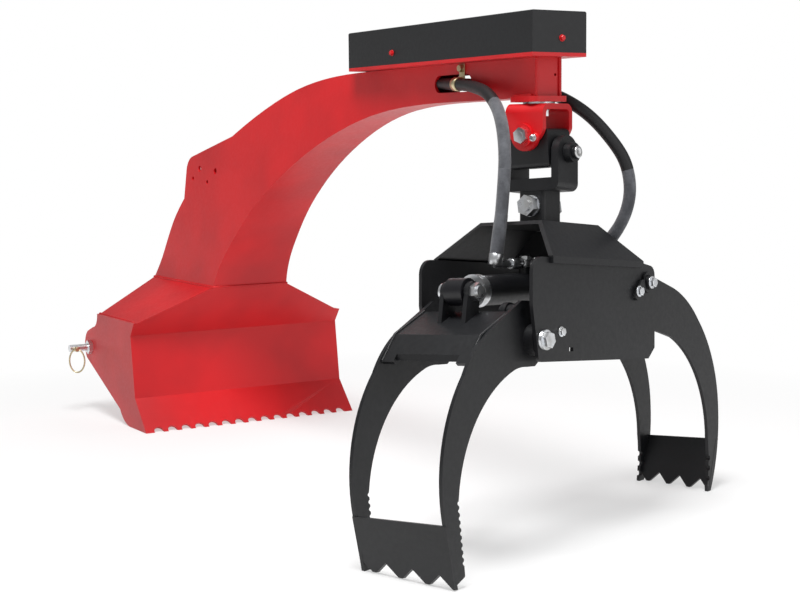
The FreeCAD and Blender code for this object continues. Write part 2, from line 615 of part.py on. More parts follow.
def toothed(y0, z0, y1, z1, half, count, depth, thickness):
    """Tip plate from (y0, z0) down to (y1, z1) with pointed teeth along its lower edge."""
    pitch = 2 * half / count
    length = math.hypot(y1 - y0, z1 - z0)
    ring = [(-half, 0.0), (half, 0.0)]
    ring.append((half, length - depth))
    for i in range(count):
        x = half - pitch * i
        ring.append((x - pitch * 0.42, length))
        ring.append((x - pitch * 0.58, length))
        ring.append((x - pitch, length - depth))
    dy = (y1 - y0) / length
    dz = (z1 - z0) / length
    face = face_of([V(x, y0 + dy * s, z0 + dz * s) for x, s in ring])
    return face.extrude(V(0, -dz, dy) * thickness)


def floor_block():
    """Everything below the ground, seen in the frame of the leaning head."""
    ground = Part.makeBox(4000, 4000, 300, V(-2000, -2000, -300))
    ground.Placement = PLACE_HEAD.inverse()
    return ground


def build_jaws():
    """Both jaws with their hubs, cross plates, tip plates, and the lugs for the cylinder."""
    ground = floor_block()
    near = left_plate(LEFT_JAW_X - JAW_T, LEFT_JAW_X).cut(ground)
    near = scallops(near, [(-430.0, 8.0), (-433.0, 34.0), (-435.0, 60.0), (-434.0, 86.0)], 6.0)
    near = biggest(near.cut(rod_x(90, 130, LEFT_PIVOT, 32)).cut(rod_x(90, 130, LINK_LEFT, 10)))
    far = left_plate(-LEFT_JAW_X, -LEFT_JAW_X + JAW_T).cut(ground)
    far = scallops(far, [(-430.0, 8.0), (-433.0, 34.0), (-435.0, 60.0), (-434.0, 86.0)], 6.0)
    far = biggest(far.cut(rod_x(-130, -90, LEFT_PIVOT, 32)))
    add("left_jaw_plates", "head", near, far)
    hub = rod_x(98, 135.5, LEFT_PIVOT, 32).cut(rod_x(90, 140, LEFT_PIVOT, PIVOT_R + RUN_FIT))
    add("left_jaw_hubs", "head", hub, mirror_x(hub))
    span = LEFT_JAW_X - JAW_T
    bend = [(-262.0, 466.0), (-355.0, 420.0), (-396.0, 366.0)]
    over = offset_line(bend, -8.0)
    cross = slab_x(bend + over[::-1], -span, span)
    cross = cross.cut(box(-78, 78, -420, -384, 340, 382).fuse(rod_y(-420, -384, (0, 370), 26)))
    add("left_jaw_cross_plate", "head", biggest(cross))
    lug_steps = [("L", (-264.0, 448.0)), ("L", (-254.0, 505.0)), ("A", (-280.0, 531.0), (-306.0, 505.0)), ("L", (-326.0, 422.0))]
    lug = plate_yz((-326.0, 422.0), lug_steps, 25.0, 35.0)
    lug = lug.cut(cross).cut(rod_x(0, 60, ROD_PIN, 12.5))
    lug = biggest(lug)
    add("rod_lugs", "head", lug, mirror_x(lug))
    rod_pin = rod_x(-47, 52, ROD_PIN, 12.5).fuse(rod_x(-43, -35, ROD_PIN, 18))
    rod_pin = rod_pin.fuse(hexagon((35, ROD_PIN[0], ROD_PIN[1]), (1, 0, 0), 32, 12)).removeSplitter()
    add("rod_pin", "head", rod_pin)
    tip = toothed(-432.0, 66.0, -413.0, -46.0, span, 4, 26.0, 10.0)
    tip = tip.cut(near).cut(far)
    add("left_tip_plate", "head", biggest(tip))
    link_pin = rod_x(LINK_X0 - 8, LEFT_JAW_X, LINK_LEFT, 10).fuse(rod_x(LINK_X0 - 6, LINK_X0 - 0.5, LINK_LEFT, 17))
    link_pin = link_pin.fuse(rod_x(LINK_X1 + 0.5, LEFT_JAW_X - JAW_T, LINK_LEFT, 17))
    add("link_pin_left", "head", link_pin.removeSplitter())

    near = right_plate(RIGHT_JAW_X - JAW_T, RIGHT_JAW_X).cut(ground)
    near = scallops(near, [(565.0, 74.0), (567.0, 98.0), (567.0, 122.0)], 6.0)
    near = biggest(near.cut(rod_x(70, 130, RIGHT_PIVOT, 28)).cut(rod_x(70, 130, LINK_RIGHT, 10)))
    far = right_plate(-RIGHT_JAW_X, -RIGHT_JAW_X + JAW_T).cut(ground)
    far = scallops(far, [(565.0, 74.0), (567.0, 98.0), (567.0, 122.0)], 6.0)
    far = biggest(far.cut(rod_x(-130, -70, RIGHT_PIVOT, 28)))
    add("right_jaw_plates", "head", near, far)
    hub = rod_x(24.5, 135.5, RIGHT_PIVOT, 28).cut(rod_x(20, 140, RIGHT_PIVOT, UPPER_PIN_R + RUN_FIT))
    add("right_jaw_hubs", "head", hub, mirror_x(hub))
    span = RIGHT_JAW_X - JAW_T
    bend = [(352.0, 534.0), (455.0, 492.0), (512.0, 446.0)]
    over = offset_line(bend, 8.0)
    cross = slab_x(bend + over[::-1], -span, span)
    add("right_jaw_cross_plate", "head", biggest(cross))
    tip = toothed(562.0, 166.0, 568.0, 42.0, span, 3, 26.0, 10.0)
    tip = tip.cut(near).cut(far)
    add("right_tip_plate", "head", biggest(tip))
    link_pin = rod_x(LINK_X0 - 8, RIGHT_JAW_X, LINK_RIGHT, 10).fuse(rod_x(LINK_X0 - 6, LINK_X0 - 0.5, LINK_RIGHT, 19))
    link_pin = link_pin.fuse(rod_x(LINK_X1 + 0.5, RIGHT_JAW_X - JAW_T, LINK_RIGHT, 17))
    add("link_pin_right", "head", link_pin.removeSplitter())


def build_cylinder():
    """Hydraulic cylinder between the jaws and the bar that makes them move together."""
    base = V(0, RIGHT_PIVOT[0], RIGHT_PIVOT[1])
    eye = V(0, ROD_PIN[0], ROD_PIN[1])
    axis = (eye - base).normalize()
    length = (eye - base).Length
    barrel = Part.makeCylinder(BARREL_R, length - 60 - 34, base + axis * 34, axis)
    barrel = barrel.fuse(rod_x(-22, 22, RIGHT_PIVOT, 28)).fuse(Part.makeCylinder(20, 40, base, axis))
    for at in PORTS:
        port = base + axis * at
        up = V(0, -axis.z, axis.y)
        if up.z < 0:
            up = up * -1
        barrel = barrel.fuse(Part.makeCylinder(13, BARREL_R + 12, port, up))
    barrel = barrel.cut(rod_x(-30, 30, RIGHT_PIVOT, UPPER_PIN_R + RUN_FIT))
    hollow = Part.makeCylinder(BARREL_R - 5, length - 60 - 34 - 16, base + axis * 50, axis)
    barrel = barrel.cut(hollow)
    for at in PORTS:
        barrel = barrel.cut(Part.makeCylinder(6, BARREL_R + 20, base + axis * at, V(0, -axis.z, axis.y) * (-1 if axis.y < 0 else 1)))
    add("cylinder_barrel", "head", biggest(barrel.removeSplitter()))
    gland = Part.makeCylinder(GLAND_R, 20, base + axis * (length - 60), axis)
    gland = gland.fuse(Part.makeCylinder(BARREL_R - 5, 18, base + axis * (length - 78), axis))
    gland = gland.cut(Part.makeCylinder(ROD_R + RUN_FIT, 60, base + axis * (length - 90), axis))
    add("cylinder_gland", "head", gland.removeSplitter())
    rod = Part.makeCylinder(ROD_R, length - 20 - 180, base + axis * 180, axis)
    rod = rod.fuse(Part.makeCylinder(BARREL_R - 5 - RUN_FIT, 24, base + axis * 156, axis))
    rod = rod.fuse(rod_x(-22, 22, ROD_PIN, 28)).cut(rod_x(-30, 30, ROD_PIN, 12.5 + ROD_CLEAR))
    add("cylinder_rod", "head", rod.removeSplitter())
    a = V(LINK_X0, LINK_LEFT[0], LINK_LEFT[1])
    b = V(LINK_X0, LINK_RIGHT[0], LINK_RIGHT[1])
    run = (b - a).normalize()
    side = V(0, -run.z, run.y) * 13
    bar = face_of([a + side, b + side, b - side, a - side]).extrude(V(LINK_X1 - LINK_X0, 0, 0))
    bar = bar.fuse(rod_x(LINK_X0, LINK_X1, LINK_LEFT, 21)).fuse(rod_x(LINK_X0, LINK_X1, LINK_RIGHT, 25))
    bar = bar.cut(rod_x(LINK_X0 - 5, LINK_X1 + 5, LINK_LEFT, 10 + RUN_FIT))
    bar = bar.cut(rod_x(LINK_X0 - 5, LINK_X1 + 5, LINK_RIGHT, 10 + LINK_CLEAR))
    add("timing_link", "head", bar.removeSplitter())


PORTS = (75.0, 255.0)


def footprint_offset(shapes):
    """Level move that brings the middle of the footprint to the origin."""
    bound = FreeCAD.BoundBox()
    for shape in shapes:
        bound.add(shape.optimalBoundingBox(False, False))
    return V(-(bound.XMin + bound.XMax) / 2, -(bound.YMin + bound.YMax) / 2, 0)


def main():
    """Build every piece, place it and write it out."""
    build_frame()
    build_boom()
    build_box()
    build_swivel()
    build_head()
    build_jaws()
    build_cylinder()
    os.makedirs("parts", exist_ok=True)
    placed = {}
    for name, (frame, shape) in NODES.items():
        copy = shape.copy()
        copy.Placement = FRAMES[frame].multiply(copy.Placement)
        placed[name] = copy
    move = footprint_offset(placed.values())
    for name, shape in placed.items():
        shape.translate(move)
        shape.exportStep("parts/" + name + ".step")
    print("moved by", round(move.x, 3), round(move.y, 3))


main()
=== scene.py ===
"""Log grapple for a tractor's three-point hitch: finishes, hoses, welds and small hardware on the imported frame."""

import json
import logging
import math
from dataclasses import dataclass, field
from enum import Enum

import bmesh
import bpy
from mathutils import Matrix, Vector

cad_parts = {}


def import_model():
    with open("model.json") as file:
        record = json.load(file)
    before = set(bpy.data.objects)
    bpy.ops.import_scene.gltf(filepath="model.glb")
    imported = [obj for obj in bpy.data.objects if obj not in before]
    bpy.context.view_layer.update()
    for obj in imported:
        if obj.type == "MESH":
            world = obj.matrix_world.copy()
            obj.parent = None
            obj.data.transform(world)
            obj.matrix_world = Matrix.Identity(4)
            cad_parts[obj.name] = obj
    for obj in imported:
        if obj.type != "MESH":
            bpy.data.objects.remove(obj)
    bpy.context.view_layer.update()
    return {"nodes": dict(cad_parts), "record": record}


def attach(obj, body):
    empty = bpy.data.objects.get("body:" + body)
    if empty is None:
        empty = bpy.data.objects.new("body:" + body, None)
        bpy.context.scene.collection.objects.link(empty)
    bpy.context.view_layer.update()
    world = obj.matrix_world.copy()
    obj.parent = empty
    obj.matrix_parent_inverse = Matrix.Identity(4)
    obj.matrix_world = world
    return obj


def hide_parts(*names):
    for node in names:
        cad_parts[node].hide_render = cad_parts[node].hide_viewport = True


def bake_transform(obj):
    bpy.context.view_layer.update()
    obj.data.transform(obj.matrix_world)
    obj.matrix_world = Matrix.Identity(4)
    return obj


LOG = logging.getLogger("log_grapple")
BOOM_ORIGIN = Vector((-0.737033, -0.015637, 0.0))


class Body(str, Enum):
    """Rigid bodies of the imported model."""

    FRAME = "boom_frame"
    HANGER = "hanger"
    CROSS = "cross_link"
    HEAD = "grapple_head"
    LEFT_JAW = "left_jaw"
    RIGHT_JAW = "right_jaw"
    CYLINDER = "cylinder"
    ROD = "piston_rod"
    LINK = "timing_link"


@dataclass(frozen=True)
class Paint:
    """Sprayed paint on steel, with orange peel, dust and slight fading."""

    name: str
    colour: tuple[float, float, float]
    shade: tuple[float, float, float]
    roughness: float
    coat: float
    peel: float = 0.12
    dust: float = 0.06

    def build(self) -> bpy.types.Material:
        """Make the node material.

        Returns:
            The finished material.
        """
        material, shader = new_material(self.name)
        tree = material.node_tree
        place = tree.nodes.new("ShaderNodeTexCoord").outputs["Object"]
        broad = noise(tree, place, 3.5, 3.0, 0.55)
        fine = noise(tree, place, 420.0, 2.0, 0.5)
        specks = noise(tree, place, 95.0, 6.0, 0.75)
        tone = ramp(tree, broad, [(0.32, self.shade), (0.62, self.colour)])
        dusty = mix(tree, scaled(tree, ramp_value(tree, specks, 0.60, 0.78), self.dust), tone, (0.55, 0.50, 0.45))
        tree.links.new(dusty, shader.inputs["Base Color"])
        rough = ramp_range(tree, specks, 0.35, 0.75, self.roughness, self.roughness + 0.14)
        tree.links.new(rough, shader.inputs["Roughness"])
        shader.inputs["Coat Weight"].default_value = self.coat
        shader.inputs["Coat Roughness"].default_value = 0.12
        bump(tree, shader, [(fine, self.peel, 0.0004), (broad, 0.10, 0.002)])
        return material


@dataclass(frozen=True)
class Metal:
    """Bare or plated metal with fine scratches and cloudy tarnish."""

    name: str
    colour: tuple[float, float, float]
    tarnish: tuple[float, float, float]
    roughness: float
    scratch: float = 0.10

    def build(self) -> bpy.types.Material:
        """Make the node material.

        Returns:
            The finished material.
        """
        material, shader = new_material(self.name)
        tree = material.node_tree
        place = tree.nodes.new("ShaderNodeTexCoord").outputs["Object"]
        cloud = noise(tree, place, 38.0, 4.0, 0.6)
        grit = noise(tree, place, 700.0, 3.0, 0.6)
        tone = ramp(tree, cloud, [(0.30, self.tarnish), (0.60, self.colour)])
        tree.links.new(tone, shader.inputs["Base Color"])
        rough = ramp_range(tree, cloud, 0.3, 0.7, self.roughness + 0.15, self.roughness)
        tree.links.new(rough, shader.inputs["Roughness"])
        shader.inputs["Metallic"].default_value = 1.0
        bump(tree, shader, [(grit, self.scratch, 0.0003)])
        return material


def new_material(name: str) -> tuple[bpy.types.Material, bpy.types.Node]:
    """Start a node material.

    Args:
        name: Material name.

    Returns:
        The material and its principled shader.
    """
    material = bpy.data.materials.new(name)
    material.use_nodes = True
    return material, material.node_tree.nodes["Principled BSDF"]


def noise(tree, vector, scale: float, detail: float, roughness: float):
    """Noise value on the given coordinates.

    Args:
        tree: Node tree of the material.
        vector: Coordinate socket.
        scale: Features per metre.
        detail: Octaves.
        roughness: Strength of the finer octaves.

    Returns:
        The noise value socket.
    """
    node = tree.nodes.new("ShaderNodeTexNoise")
    node.inputs["Scale"].default_value = scale
    node.inputs["Detail"].default_value = detail
    node.inputs["Roughness"].default_value = roughness
    tree.links.new(vector, node.inputs["Vector"])
    return node.outputs["Fac"]


def ramp(tree, factor, stops):
    """Colour ramp over a value.

    Args:
        tree: Node tree of the material.
        factor: Value socket.
        stops: Pairs of position and colour.

    Returns:
        The colour socket.
    """
    node = tree.nodes.new("ShaderNodeValToRGB")
    elements = node.color_ramp.elements
    for index, (position, colour) in enumerate(stops):
        element = elements[index] if index < 2 else elements.new(position)
        element.position = position
        element.color = (*colour, 1.0)
    tree.links.new(factor, node.inputs["Fac"])
    return node.outputs["Color"]


def ramp_range(tree, value, low: float, high: float, out_low: float, out_high: float):
    """Linear map of a value, clamped at both ends.

    Args:
        tree: Node tree of the material.
        value: Value socket.
        low: Value that maps to out_low.
        high: Value that maps to out_high.
        out_low: Result at low.
        out_high: Result at high.

    Returns:
        The mapped value socket.
    """
    node = tree.nodes.new("ShaderNodeMapRange")
    for key, number in (("From Min", low), ("From Max", high), ("To Min", out_low), ("To Max", out_high)):
        node.inputs[key].default_value = number
    tree.links.new(value, node.inputs["Value"])
    return node.outputs["Result"]


def vector_math(tree, operation: str, vector, constant: tuple[float, float, float]):
    """Vector operation of a socket with a constant."""
    node = tree.nodes.new("ShaderNodeVectorMath")
    node.operation = operation
    node.inputs[1].default_value = constant
    tree.links.new(vector, node.inputs[0])
    return node


def ramp_value(tree, value, low: float, high: float):
    """Value mapped to 0 at low and 1 at high."""
    return ramp_range(tree, value, low, high, 0.0, 1.0)


def scaled(tree, value, factor: float):
    """Value times a constant."""
    node = tree.nodes.new("ShaderNodeMath")
    node.operation = "MULTIPLY"
    node.inputs[1].default_value = factor
    tree.links.new(value, node.inputs[0])
    return node.outputs[0]


def mix(tree, factor, first, second):
    """Blend from one colour to another.

    Args:
        tree: Node tree of the material.
        factor: Value socket.
        first: Colour socket at 0.
        second: Colour at 1.

    Returns:
        The colour socket.
    """
    node = tree.nodes.new("ShaderNodeMix")
    node.data_type = "RGBA"
    tree.links.new(factor, node.inputs["Factor"])
    tree.links.new(first, node.inputs["A"])
    node.inputs["B"].default_value = (*second, 1.0)
    return node.outputs["Result"]


def bump(tree, shader, layers) -> None:
    """Stack bump layers on a shader.

    Args:
        tree: Node tree of the material.
        shader: Principled shader.
        layers: Height socket, strength and distance of each layer.
    """
    normal = None
    for height, strength, distance in layers:
        node = tree.nodes.new("ShaderNodeBump")
        node.inputs["Strength"].default_value = strength
        node.inputs["Distance"].default_value = distance
        tree.links.new(height, node.inputs["Height"])
        if normal is not None:
            tree.links.new(normal, node.inputs["Normal"])
        normal = node.outputs["Normal"]
    tree.links.new(normal, shader.inputs["Normal"])


@dataclass(frozen=True)
class RodFinish(Metal):
    """Chrome on the rod, with black paint on the eye at its end."""

    eye_r: float = 0.0295

    def build(self) -> bpy.types.Material:
        """Make the node material, masked by the distance from the rod's pin."""
        material = super().build()
        tree = material.node_tree
        chrome = tree.nodes["Principled BSDF"]
        painted = tree.nodes.new("ShaderNodeBsdfPrincipled")
        painted.inputs["Base Color"].default_value = (0.004, 0.004, 0.006, 1.0)
        painted.inputs["Roughness"].default_value = 0.38
        place = tree.nodes.new("ShaderNodeTexCoord").outputs["Object"]
        eye = head_spot(0.0, -280.0, 505.0)
        axis = head_direction(1.0)
        offset = vector_math(tree, "SUBTRACT", place, tuple(eye))
        along = vector_math(tree, "PROJECT", offset.outputs["Vector"], tuple(axis))
        radial = tree.nodes.new("ShaderNodeVectorMath")
        radial.operation = "SUBTRACT"
        tree.links.new(offset.outputs["Vector"], radial.inputs[0])
        tree.links.new(along.outputs["Vector"], radial.inputs[1])
        reach = tree.nodes.new("ShaderNodeVectorMath")
        reach.operation = "LENGTH"
        tree.links.new(radial.outputs["Vector"], reach.inputs[0])
        on_rod = ramp_value(tree, reach.outputs["Value"], self.eye_r, self.eye_r + 0.001)
        blend = tree.nodes.new("ShaderNodeMixShader")
        tree.links.new(on_rod, blend.inputs["Fac"])
        tree.links.new(painted.outputs[0], blend.inputs[1])
        tree.links.new(chrome.outputs[0], blend.inputs[2])
        tree.links.new(blend.outputs[0], tree.nodes["Material Output"].inputs["Surface"])
        return material


@dataclass(frozen=True)
class Textile:
    """Woven sleeve: crossed threads on the hose's own UV, in metres around and along."""

    name: str
    colour: tuple[float, float, float]
    worn: tuple[float, float, float]
    thread: float = 0.0022

    def build(self) -> bpy.types.Material:
        """Make the node material.

        Returns:
            The finished material.
        """
        material, shader = new_material(self.name)
        tree = material.node_tree
        place = tree.nodes.new("ShaderNodeTexCoord").outputs["UV"]
        waves = []
        for direction in ("X", "Y"):
            wave = tree.nodes.new("ShaderNodeTexWave")
            wave.bands_direction = direction
            wave.inputs["Scale"].default_value = 0.31 / self.thread
            wave.inputs["Distortion"].default_value = 0.8
            wave.inputs["Detail"].default_value = 1.0
            tree.links.new(place, wave.inputs["Vector"])
            waves.append(wave.outputs["Fac"])
        weave = tree.nodes.new("ShaderNodeMath")
        weave.operation = "MULTIPLY"
        tree.links.new(waves[0], weave.inputs[0])
        tree.links.new(waves[1], weave.inputs[1])
        dirt = noise(tree, place, 22.0, 5.0, 0.65)
        tone = ramp(tree, dirt, [(0.38, self.colour), (0.66, self.worn)])
        dark = mix(tree, scaled(tree, weave.outputs[0], 0.35), tone, self.worn)
        tree.links.new(dark, shader.inputs["Base Color"])
        shader.inputs["Roughness"].default_value = 0.82
        shader.inputs["Sheen Weight"].default_value = 0.25
        bump(tree, shader, [(weave.outputs[0], 0.55, 0.0008), (dirt, 0.35, 0.002)])
        return material


RED = Paint("red_enamel", (0.62, 0.002, 0.006), (0.46, 0.0015, 0.005), 0.40, 0.05)
BLACK = Paint("black_enamel", (0.0035, 0.004, 0.0055), (0.002, 0.002, 0.003), 0.42, 0.03, 0.10, 0.012)
ZINC = Metal("zinc_plate", (0.82, 0.84, 0.87), (0.58, 0.58, 0.57), 0.24)
YELLOW_ZINC = Metal("yellow_zinc", (0.72, 0.62, 0.40), (0.46, 0.38, 0.22), 0.30)
ROD = RodFinish("hard_chrome", (0.86, 0.86, 0.88), (0.74, 0.74, 0.76), 0.08, 0.03)
RUBBER = Paint("hose_rubber", (0.006, 0.006, 0.007), (0.004, 0.004, 0.005), 0.48, 0.0, 0.10, 0.02)
SLEEVE = Textile("hose_sleeve", (0.045, 0.047, 0.055), (0.120, 0.125, 0.140))

FINISH_OF_SLOT = {"red_paint": RED, "black_paint": BLACK, "zinc": ZINC, "chrome": ROD}
FINISH_OF_NODE = {"rod_pin": ZINC, "swing_pin_sideways": BLACK}


class Workshop:
    """Finishes that are made once and shared by the pieces."""

    def __init__(self) -> None:
        self._made: dict[str, bpy.types.Material] = {}

    def of(self, finish) -> bpy.types.Material:
        """Material of a finish.

        Args:
            finish: Paint, Metal or Textile.

        Returns:
            The material, made at its first use.
        """
        if finish.name not in self._made:
            self._made[finish.name] = finish.build()
        return self._made[finish.name]


SHOP = Workshop()


def spot(x: float, y: float, z: float) -> Vector:
    """Point of the boom's drawing, in millimetres, as a place in the scene."""
    return Vector((x, y, z)) / 1000.0 + BOOM_ORIGIN


def head_matrix() -> Matrix:
    """Resting stance of the grapple head: yaw of the swivel, then both swings."""
    axis = Matrix.Translation((1.545, 0.0, 0.0)) @ Matrix.Rotation(math.radians(19.5), 4, "Z")
    lift_a = Matrix.Translation((0.0, 0.0, 0.845))
    lift_b = Matrix.Translation((0.0, 0.0, 0.803))
    fore = lift_a @ Matrix.Rotation(math.radians(-3.8), 4, "Y") @ lift_a.inverted()
    side = lift_b @ Matrix.Rotation(math.radians(-5.6), 4, "X") @ lift_b.inverted()
    return Matrix.Translation(BOOM_ORIGIN) @ axis @ fore @ side


HEAD_MATRIX = head_matrix()


def head_spot(x: float, y: float, z: float) -> Vector:
    """Point of the head's drawing, in millimetres, as a place in the scene."""
    return HEAD_MATRIX @ (Vector((x, y, z)) / 1000.0)


# ---------------------------------------------------------------- meshes
def keep(name: str, mesh: bpy.types.Mesh, finish) -> bpy.types.Object:
    """Link a mesh as an object with its finish.

    Args:
        name: Object name.
        mesh: Finished mesh.
        finish: Paint, Metal or Textile.

    Returns:
        The object.
    """
    mesh.name = name
    mesh.materials.clear()
    mesh.materials.append(SHOP.of(finish))
    for face in mesh.polygons:
        face.material_index = 0
    piece = bpy.data.objects.new(name, mesh)
    bpy.context.collection.objects.link(piece)
    return piece


def spline_points(route: list[Vector]) -> list[Vector]:
    """Points along a smooth NURBS line through a route.

    Args:
        route: Control points.

    Returns:
        Points on the line.
    """
    data = bpy.data.curves.new("route", "CURVE")
    data.dimensions = "3D"
    spline = data.splines.new("NURBS")
    spline.points.add(len(route) - 1)
    for point, place in zip(spline.points, route):
        point.co = (*place, 1.0)
    spline.order_u = 3
    spline.use_endpoint_u = True
    spline.resolution_u = 10
    line = bpy.data.objects.new("route", data)
    bpy.context.collection.objects.link(line)
    mesh = bpy.data.meshes.new_from_object(line)
    points = [vertex.co.copy() for vertex in mesh.vertices]
    bpy.data.objects.remove(line)
    bpy.data.meshes.remove(mesh)
    return points


def length_of(points: list[Vector]) -> float:
    """Length of a line of points."""
    return sum((b - a).length for a, b in zip(points, points[1:]))


def swept(points: list[Vector], radius_at, sides: int = 28) -> bpy.types.Mesh:
    """Closed tube along points, with a UV in metres around and along.

    Args:
        points: Centre line.
        radius_at: Radius as a function of the distance along and the angle.
        sides: Faces around.

    Returns:
        The mesh.
    """
    form = bmesh.new()
    layer = form.loops.layers.uv.new("UVMap")
    tangents = []
    for index in range(len(points)):
        ahead = points[min(index + 1, len(points) - 1)]
        behind = points[max(index - 1, 0)]
        tangents.append((ahead - behind).normalized())
    across = tangents[0].orthogonal().normalized()
    rings = []
    travelled = 0.0
    for index, point in enumerate(points):
        if index:
            travelled += (point - points[index - 1]).length
        across = (across - tangents[index] * across.dot(tangents[index])).normalized()
        other = tangents[index].cross(across)
        ring = []
        for side in range(sides):
            angle = 2 * math.pi * side / sides
            radius = radius_at(travelled, angle)
            ring.append(form.verts.new(point + (across * math.cos(angle) + other * math.sin(angle)) * radius))
        rings.append((travelled, ring))
    girth = 2 * math.pi * radius_at(0.0, 0.0)
    for (low, first), (high, second) in zip(rings, rings[1:]):
        for side in range(sides):
            after = (side + 1) % sides
            face = form.faces.new((first[side], first[after], second[after], second[side]))
            face.smooth = True
            corners = [(side, low), (side + 1, low), (side + 1, high), (side, high)]
            for loop, (turn, along) in zip(face.loops, corners):
                loop[layer].uv = (girth * turn / sides, along)
    for cap in (form.faces.new(list(reversed(rings[0][1]))), form.faces.new(rings[-1][1])):
        for edge in cap.edges:
            edge.smooth = False
    bmesh.ops.recalc_face_normals(form, faces=form.faces)
    mesh = bpy.data.meshes.new("tube")
    form.to_mesh(mesh)
    form.free()
    return mesh


def even(radius: float):
    """Constant radius for a tube."""
    return lambda along, angle: radius


def turned(base: Vector, axis: Vector, profile: list[tuple[float, float]], sides: int = 40) -> bpy.types.Mesh:
    """Round piece turned about an axis.

    Args:
        base: Start of the axis.
        axis: Direction.
        profile: Pairs of distance along the axis and radius, in metres, from end to end.
        sides: Faces around.

    Returns:
        The closed mesh.
    """
    axis = axis.normalized()
    across = axis.orthogonal().normalized()
    other = axis.cross(across)
    form = bmesh.new()
    rings = []
    for along, radius in profile:
        ring = []
        for side in range(sides):
            angle = 2 * math.pi * side / sides
            offset = (across * math.cos(angle) + other * math.sin(angle)) * radius
            ring.append(form.verts.new(base + axis * along + offset))
        rings.append(ring)
    for first, second in zip(rings, rings[1:]):
        for side in range(sides):
            after = (side + 1) % sides
            form.faces.new((first[side], first[after], second[after], second[side]))
    form.faces.new(list(reversed(rings[0])))
    form.faces.new(rings[-1])
    bmesh.ops.recalc_face_normals(form, faces=form.faces)
    mesh = bpy.data.meshes.new("turned")
    form.to_mesh(mesh)
    form.free()
    for face in mesh.polygons:
        face.use_smooth = len(face.vertices) == 4 and sides > 12
    return mesh


def chamfered(length: float, radius: float, edge: float = 0.001) -> list[tuple[float, float]]:
    """Profile of a round bar with broken edges."""
    return [(0.0, radius - edge), (edge, radius), (length - edge, radius), (length, radius - edge)]


def block(low: Vector, high: Vector, bevel: float, matrix: Matrix | None = None) -> bpy.types.Mesh:
    """Box with rounded edges between two corners, turned by a matrix."""
    form = bmesh.new()
    bmesh.ops.create_cube(form, size=1.0)
    size = high - low
    centre = (high + low) / 2
    for vertex in form.verts:
        vertex.co = Vector(tuple(centre[i] + vertex.co[i] * size[i] for i in range(3)))
    bmesh.ops.bevel(form, geom=list(form.edges), offset=bevel, segments=3, affect="EDGES", profile=0.5)
    if matrix is not None:
        bmesh.ops.transform(form, matrix=matrix, verts=form.verts)
    bmesh.ops.recalc_face_normals(form, faces=form.faces)
    mesh = bpy.data.meshes.new("block")
    form.to_mesh(mesh)
    form.free()
    return mesh


def joined(meshes: list[bpy.types.Mesh]) -> bpy.types.Mesh:
    """One mesh from several."""
    form = bmesh.new()
    for mesh in meshes:
        form.from_mesh(mesh)
        bpy.data.meshes.remove(mesh)
    result = bpy.data.meshes.new("joined")
    form.to_mesh(result)
    form.free()
    return result


# ---------------------------------------------------------------- hoses
NEAR_ROUTE = [
    (1130, -12, 968), (1200, -14, 967), (1262, -38, 963), (1300, -45, 962), (1370, -52, 955), (1462, -74, 938),
    (1545, -100, 893), (1589, -118, 815), (1599, -130, 736), (1607, -144, 657), (1608, -155, 600),
]
FAR_ROUTE = [
    (1130, 12, 968), (1200, 14, 967), (1262, 38, 963), (1300, 45, 962), (1370, 50, 957), (1440, 54, 949),
    (1500, 62, 938), (1545, 88, 915), (1572, 125, 881), (1596, 160, 832), (1616, 178, 791), (1622, 187, 748),
    (1621, 188, 707), (1607, 183, 662), (1573, 175, 616), (1538, 167, 580),
]
HOSE_R = 0.0135


@dataclass
class Hose:
    """Hose in a woven sleeve, from inside the boom to its port on the cylinder.

    It is made of one stretch for each joint that it crosses, and a cuff that covers its end.
    """

    name: str
    route: list[tuple[float, float, float]]
    splits: tuple[int, int]
    bends_from: int
    finishes: tuple

    def build(self) -> None:
        """Make the stretches and the cuff."""
        places = [spot(*point) for point in self.route]
        first, second = self.splits
        cut_a = (places[first] + places[first + 1]) / 2
        cut_b = (places[second] + places[second + 1]) / 2
        runs = [
            (places[:first + 1] + [cut_a], Body.FRAME, Body.HANGER, places[self.bends_from], cut_a),
            ([cut_a] + places[first + 1:second + 1] + [cut_b], Body.HANGER, Body.CROSS, cut_a, cut_b),
            ([cut_b] + places[second + 1:], Body.CROSS, Body.HEAD, cut_b, places[-1]),
        ]
        for number, (run, before, after, start, end) in enumerate(runs, 1):
            points = spline_points(run)
            piece = keep(f"{self.name}_{number}", swept(points, even(HOSE_R)), self.finishes[number - 1])
            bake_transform(piece)
        self.cuff([cut_b] + places[second + 1:])

    def cuff(self, run: list[Vector]) -> None:
        """Cover the last stretch with the loose end of the sleeve."""
        points = spline_points(run)
        total = length_of(points)
        tail = []
        travelled = 0.0
        for before, after in zip(points, points[1:]):
            travelled += (after - before).length
            if travelled > total - 0.085:
                tail.append(after)
        spare = (tail[-1] - tail[-2]).normalized() * 0.006
        tail.append(tail[-1] + spare)

        def girth(along: float, angle: float) -> float:
            """Radius of the cuff, which widens a little from its start."""
            return HOSE_R + 0.0002 + 0.0006 * min(1.0, along / 0.03) + 0.0003 * math.sin(5 * angle + 60 * along)

        piece = keep(f"{self.name}_cuff", swept(tail, girth), SLEEVE)
        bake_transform(piece)


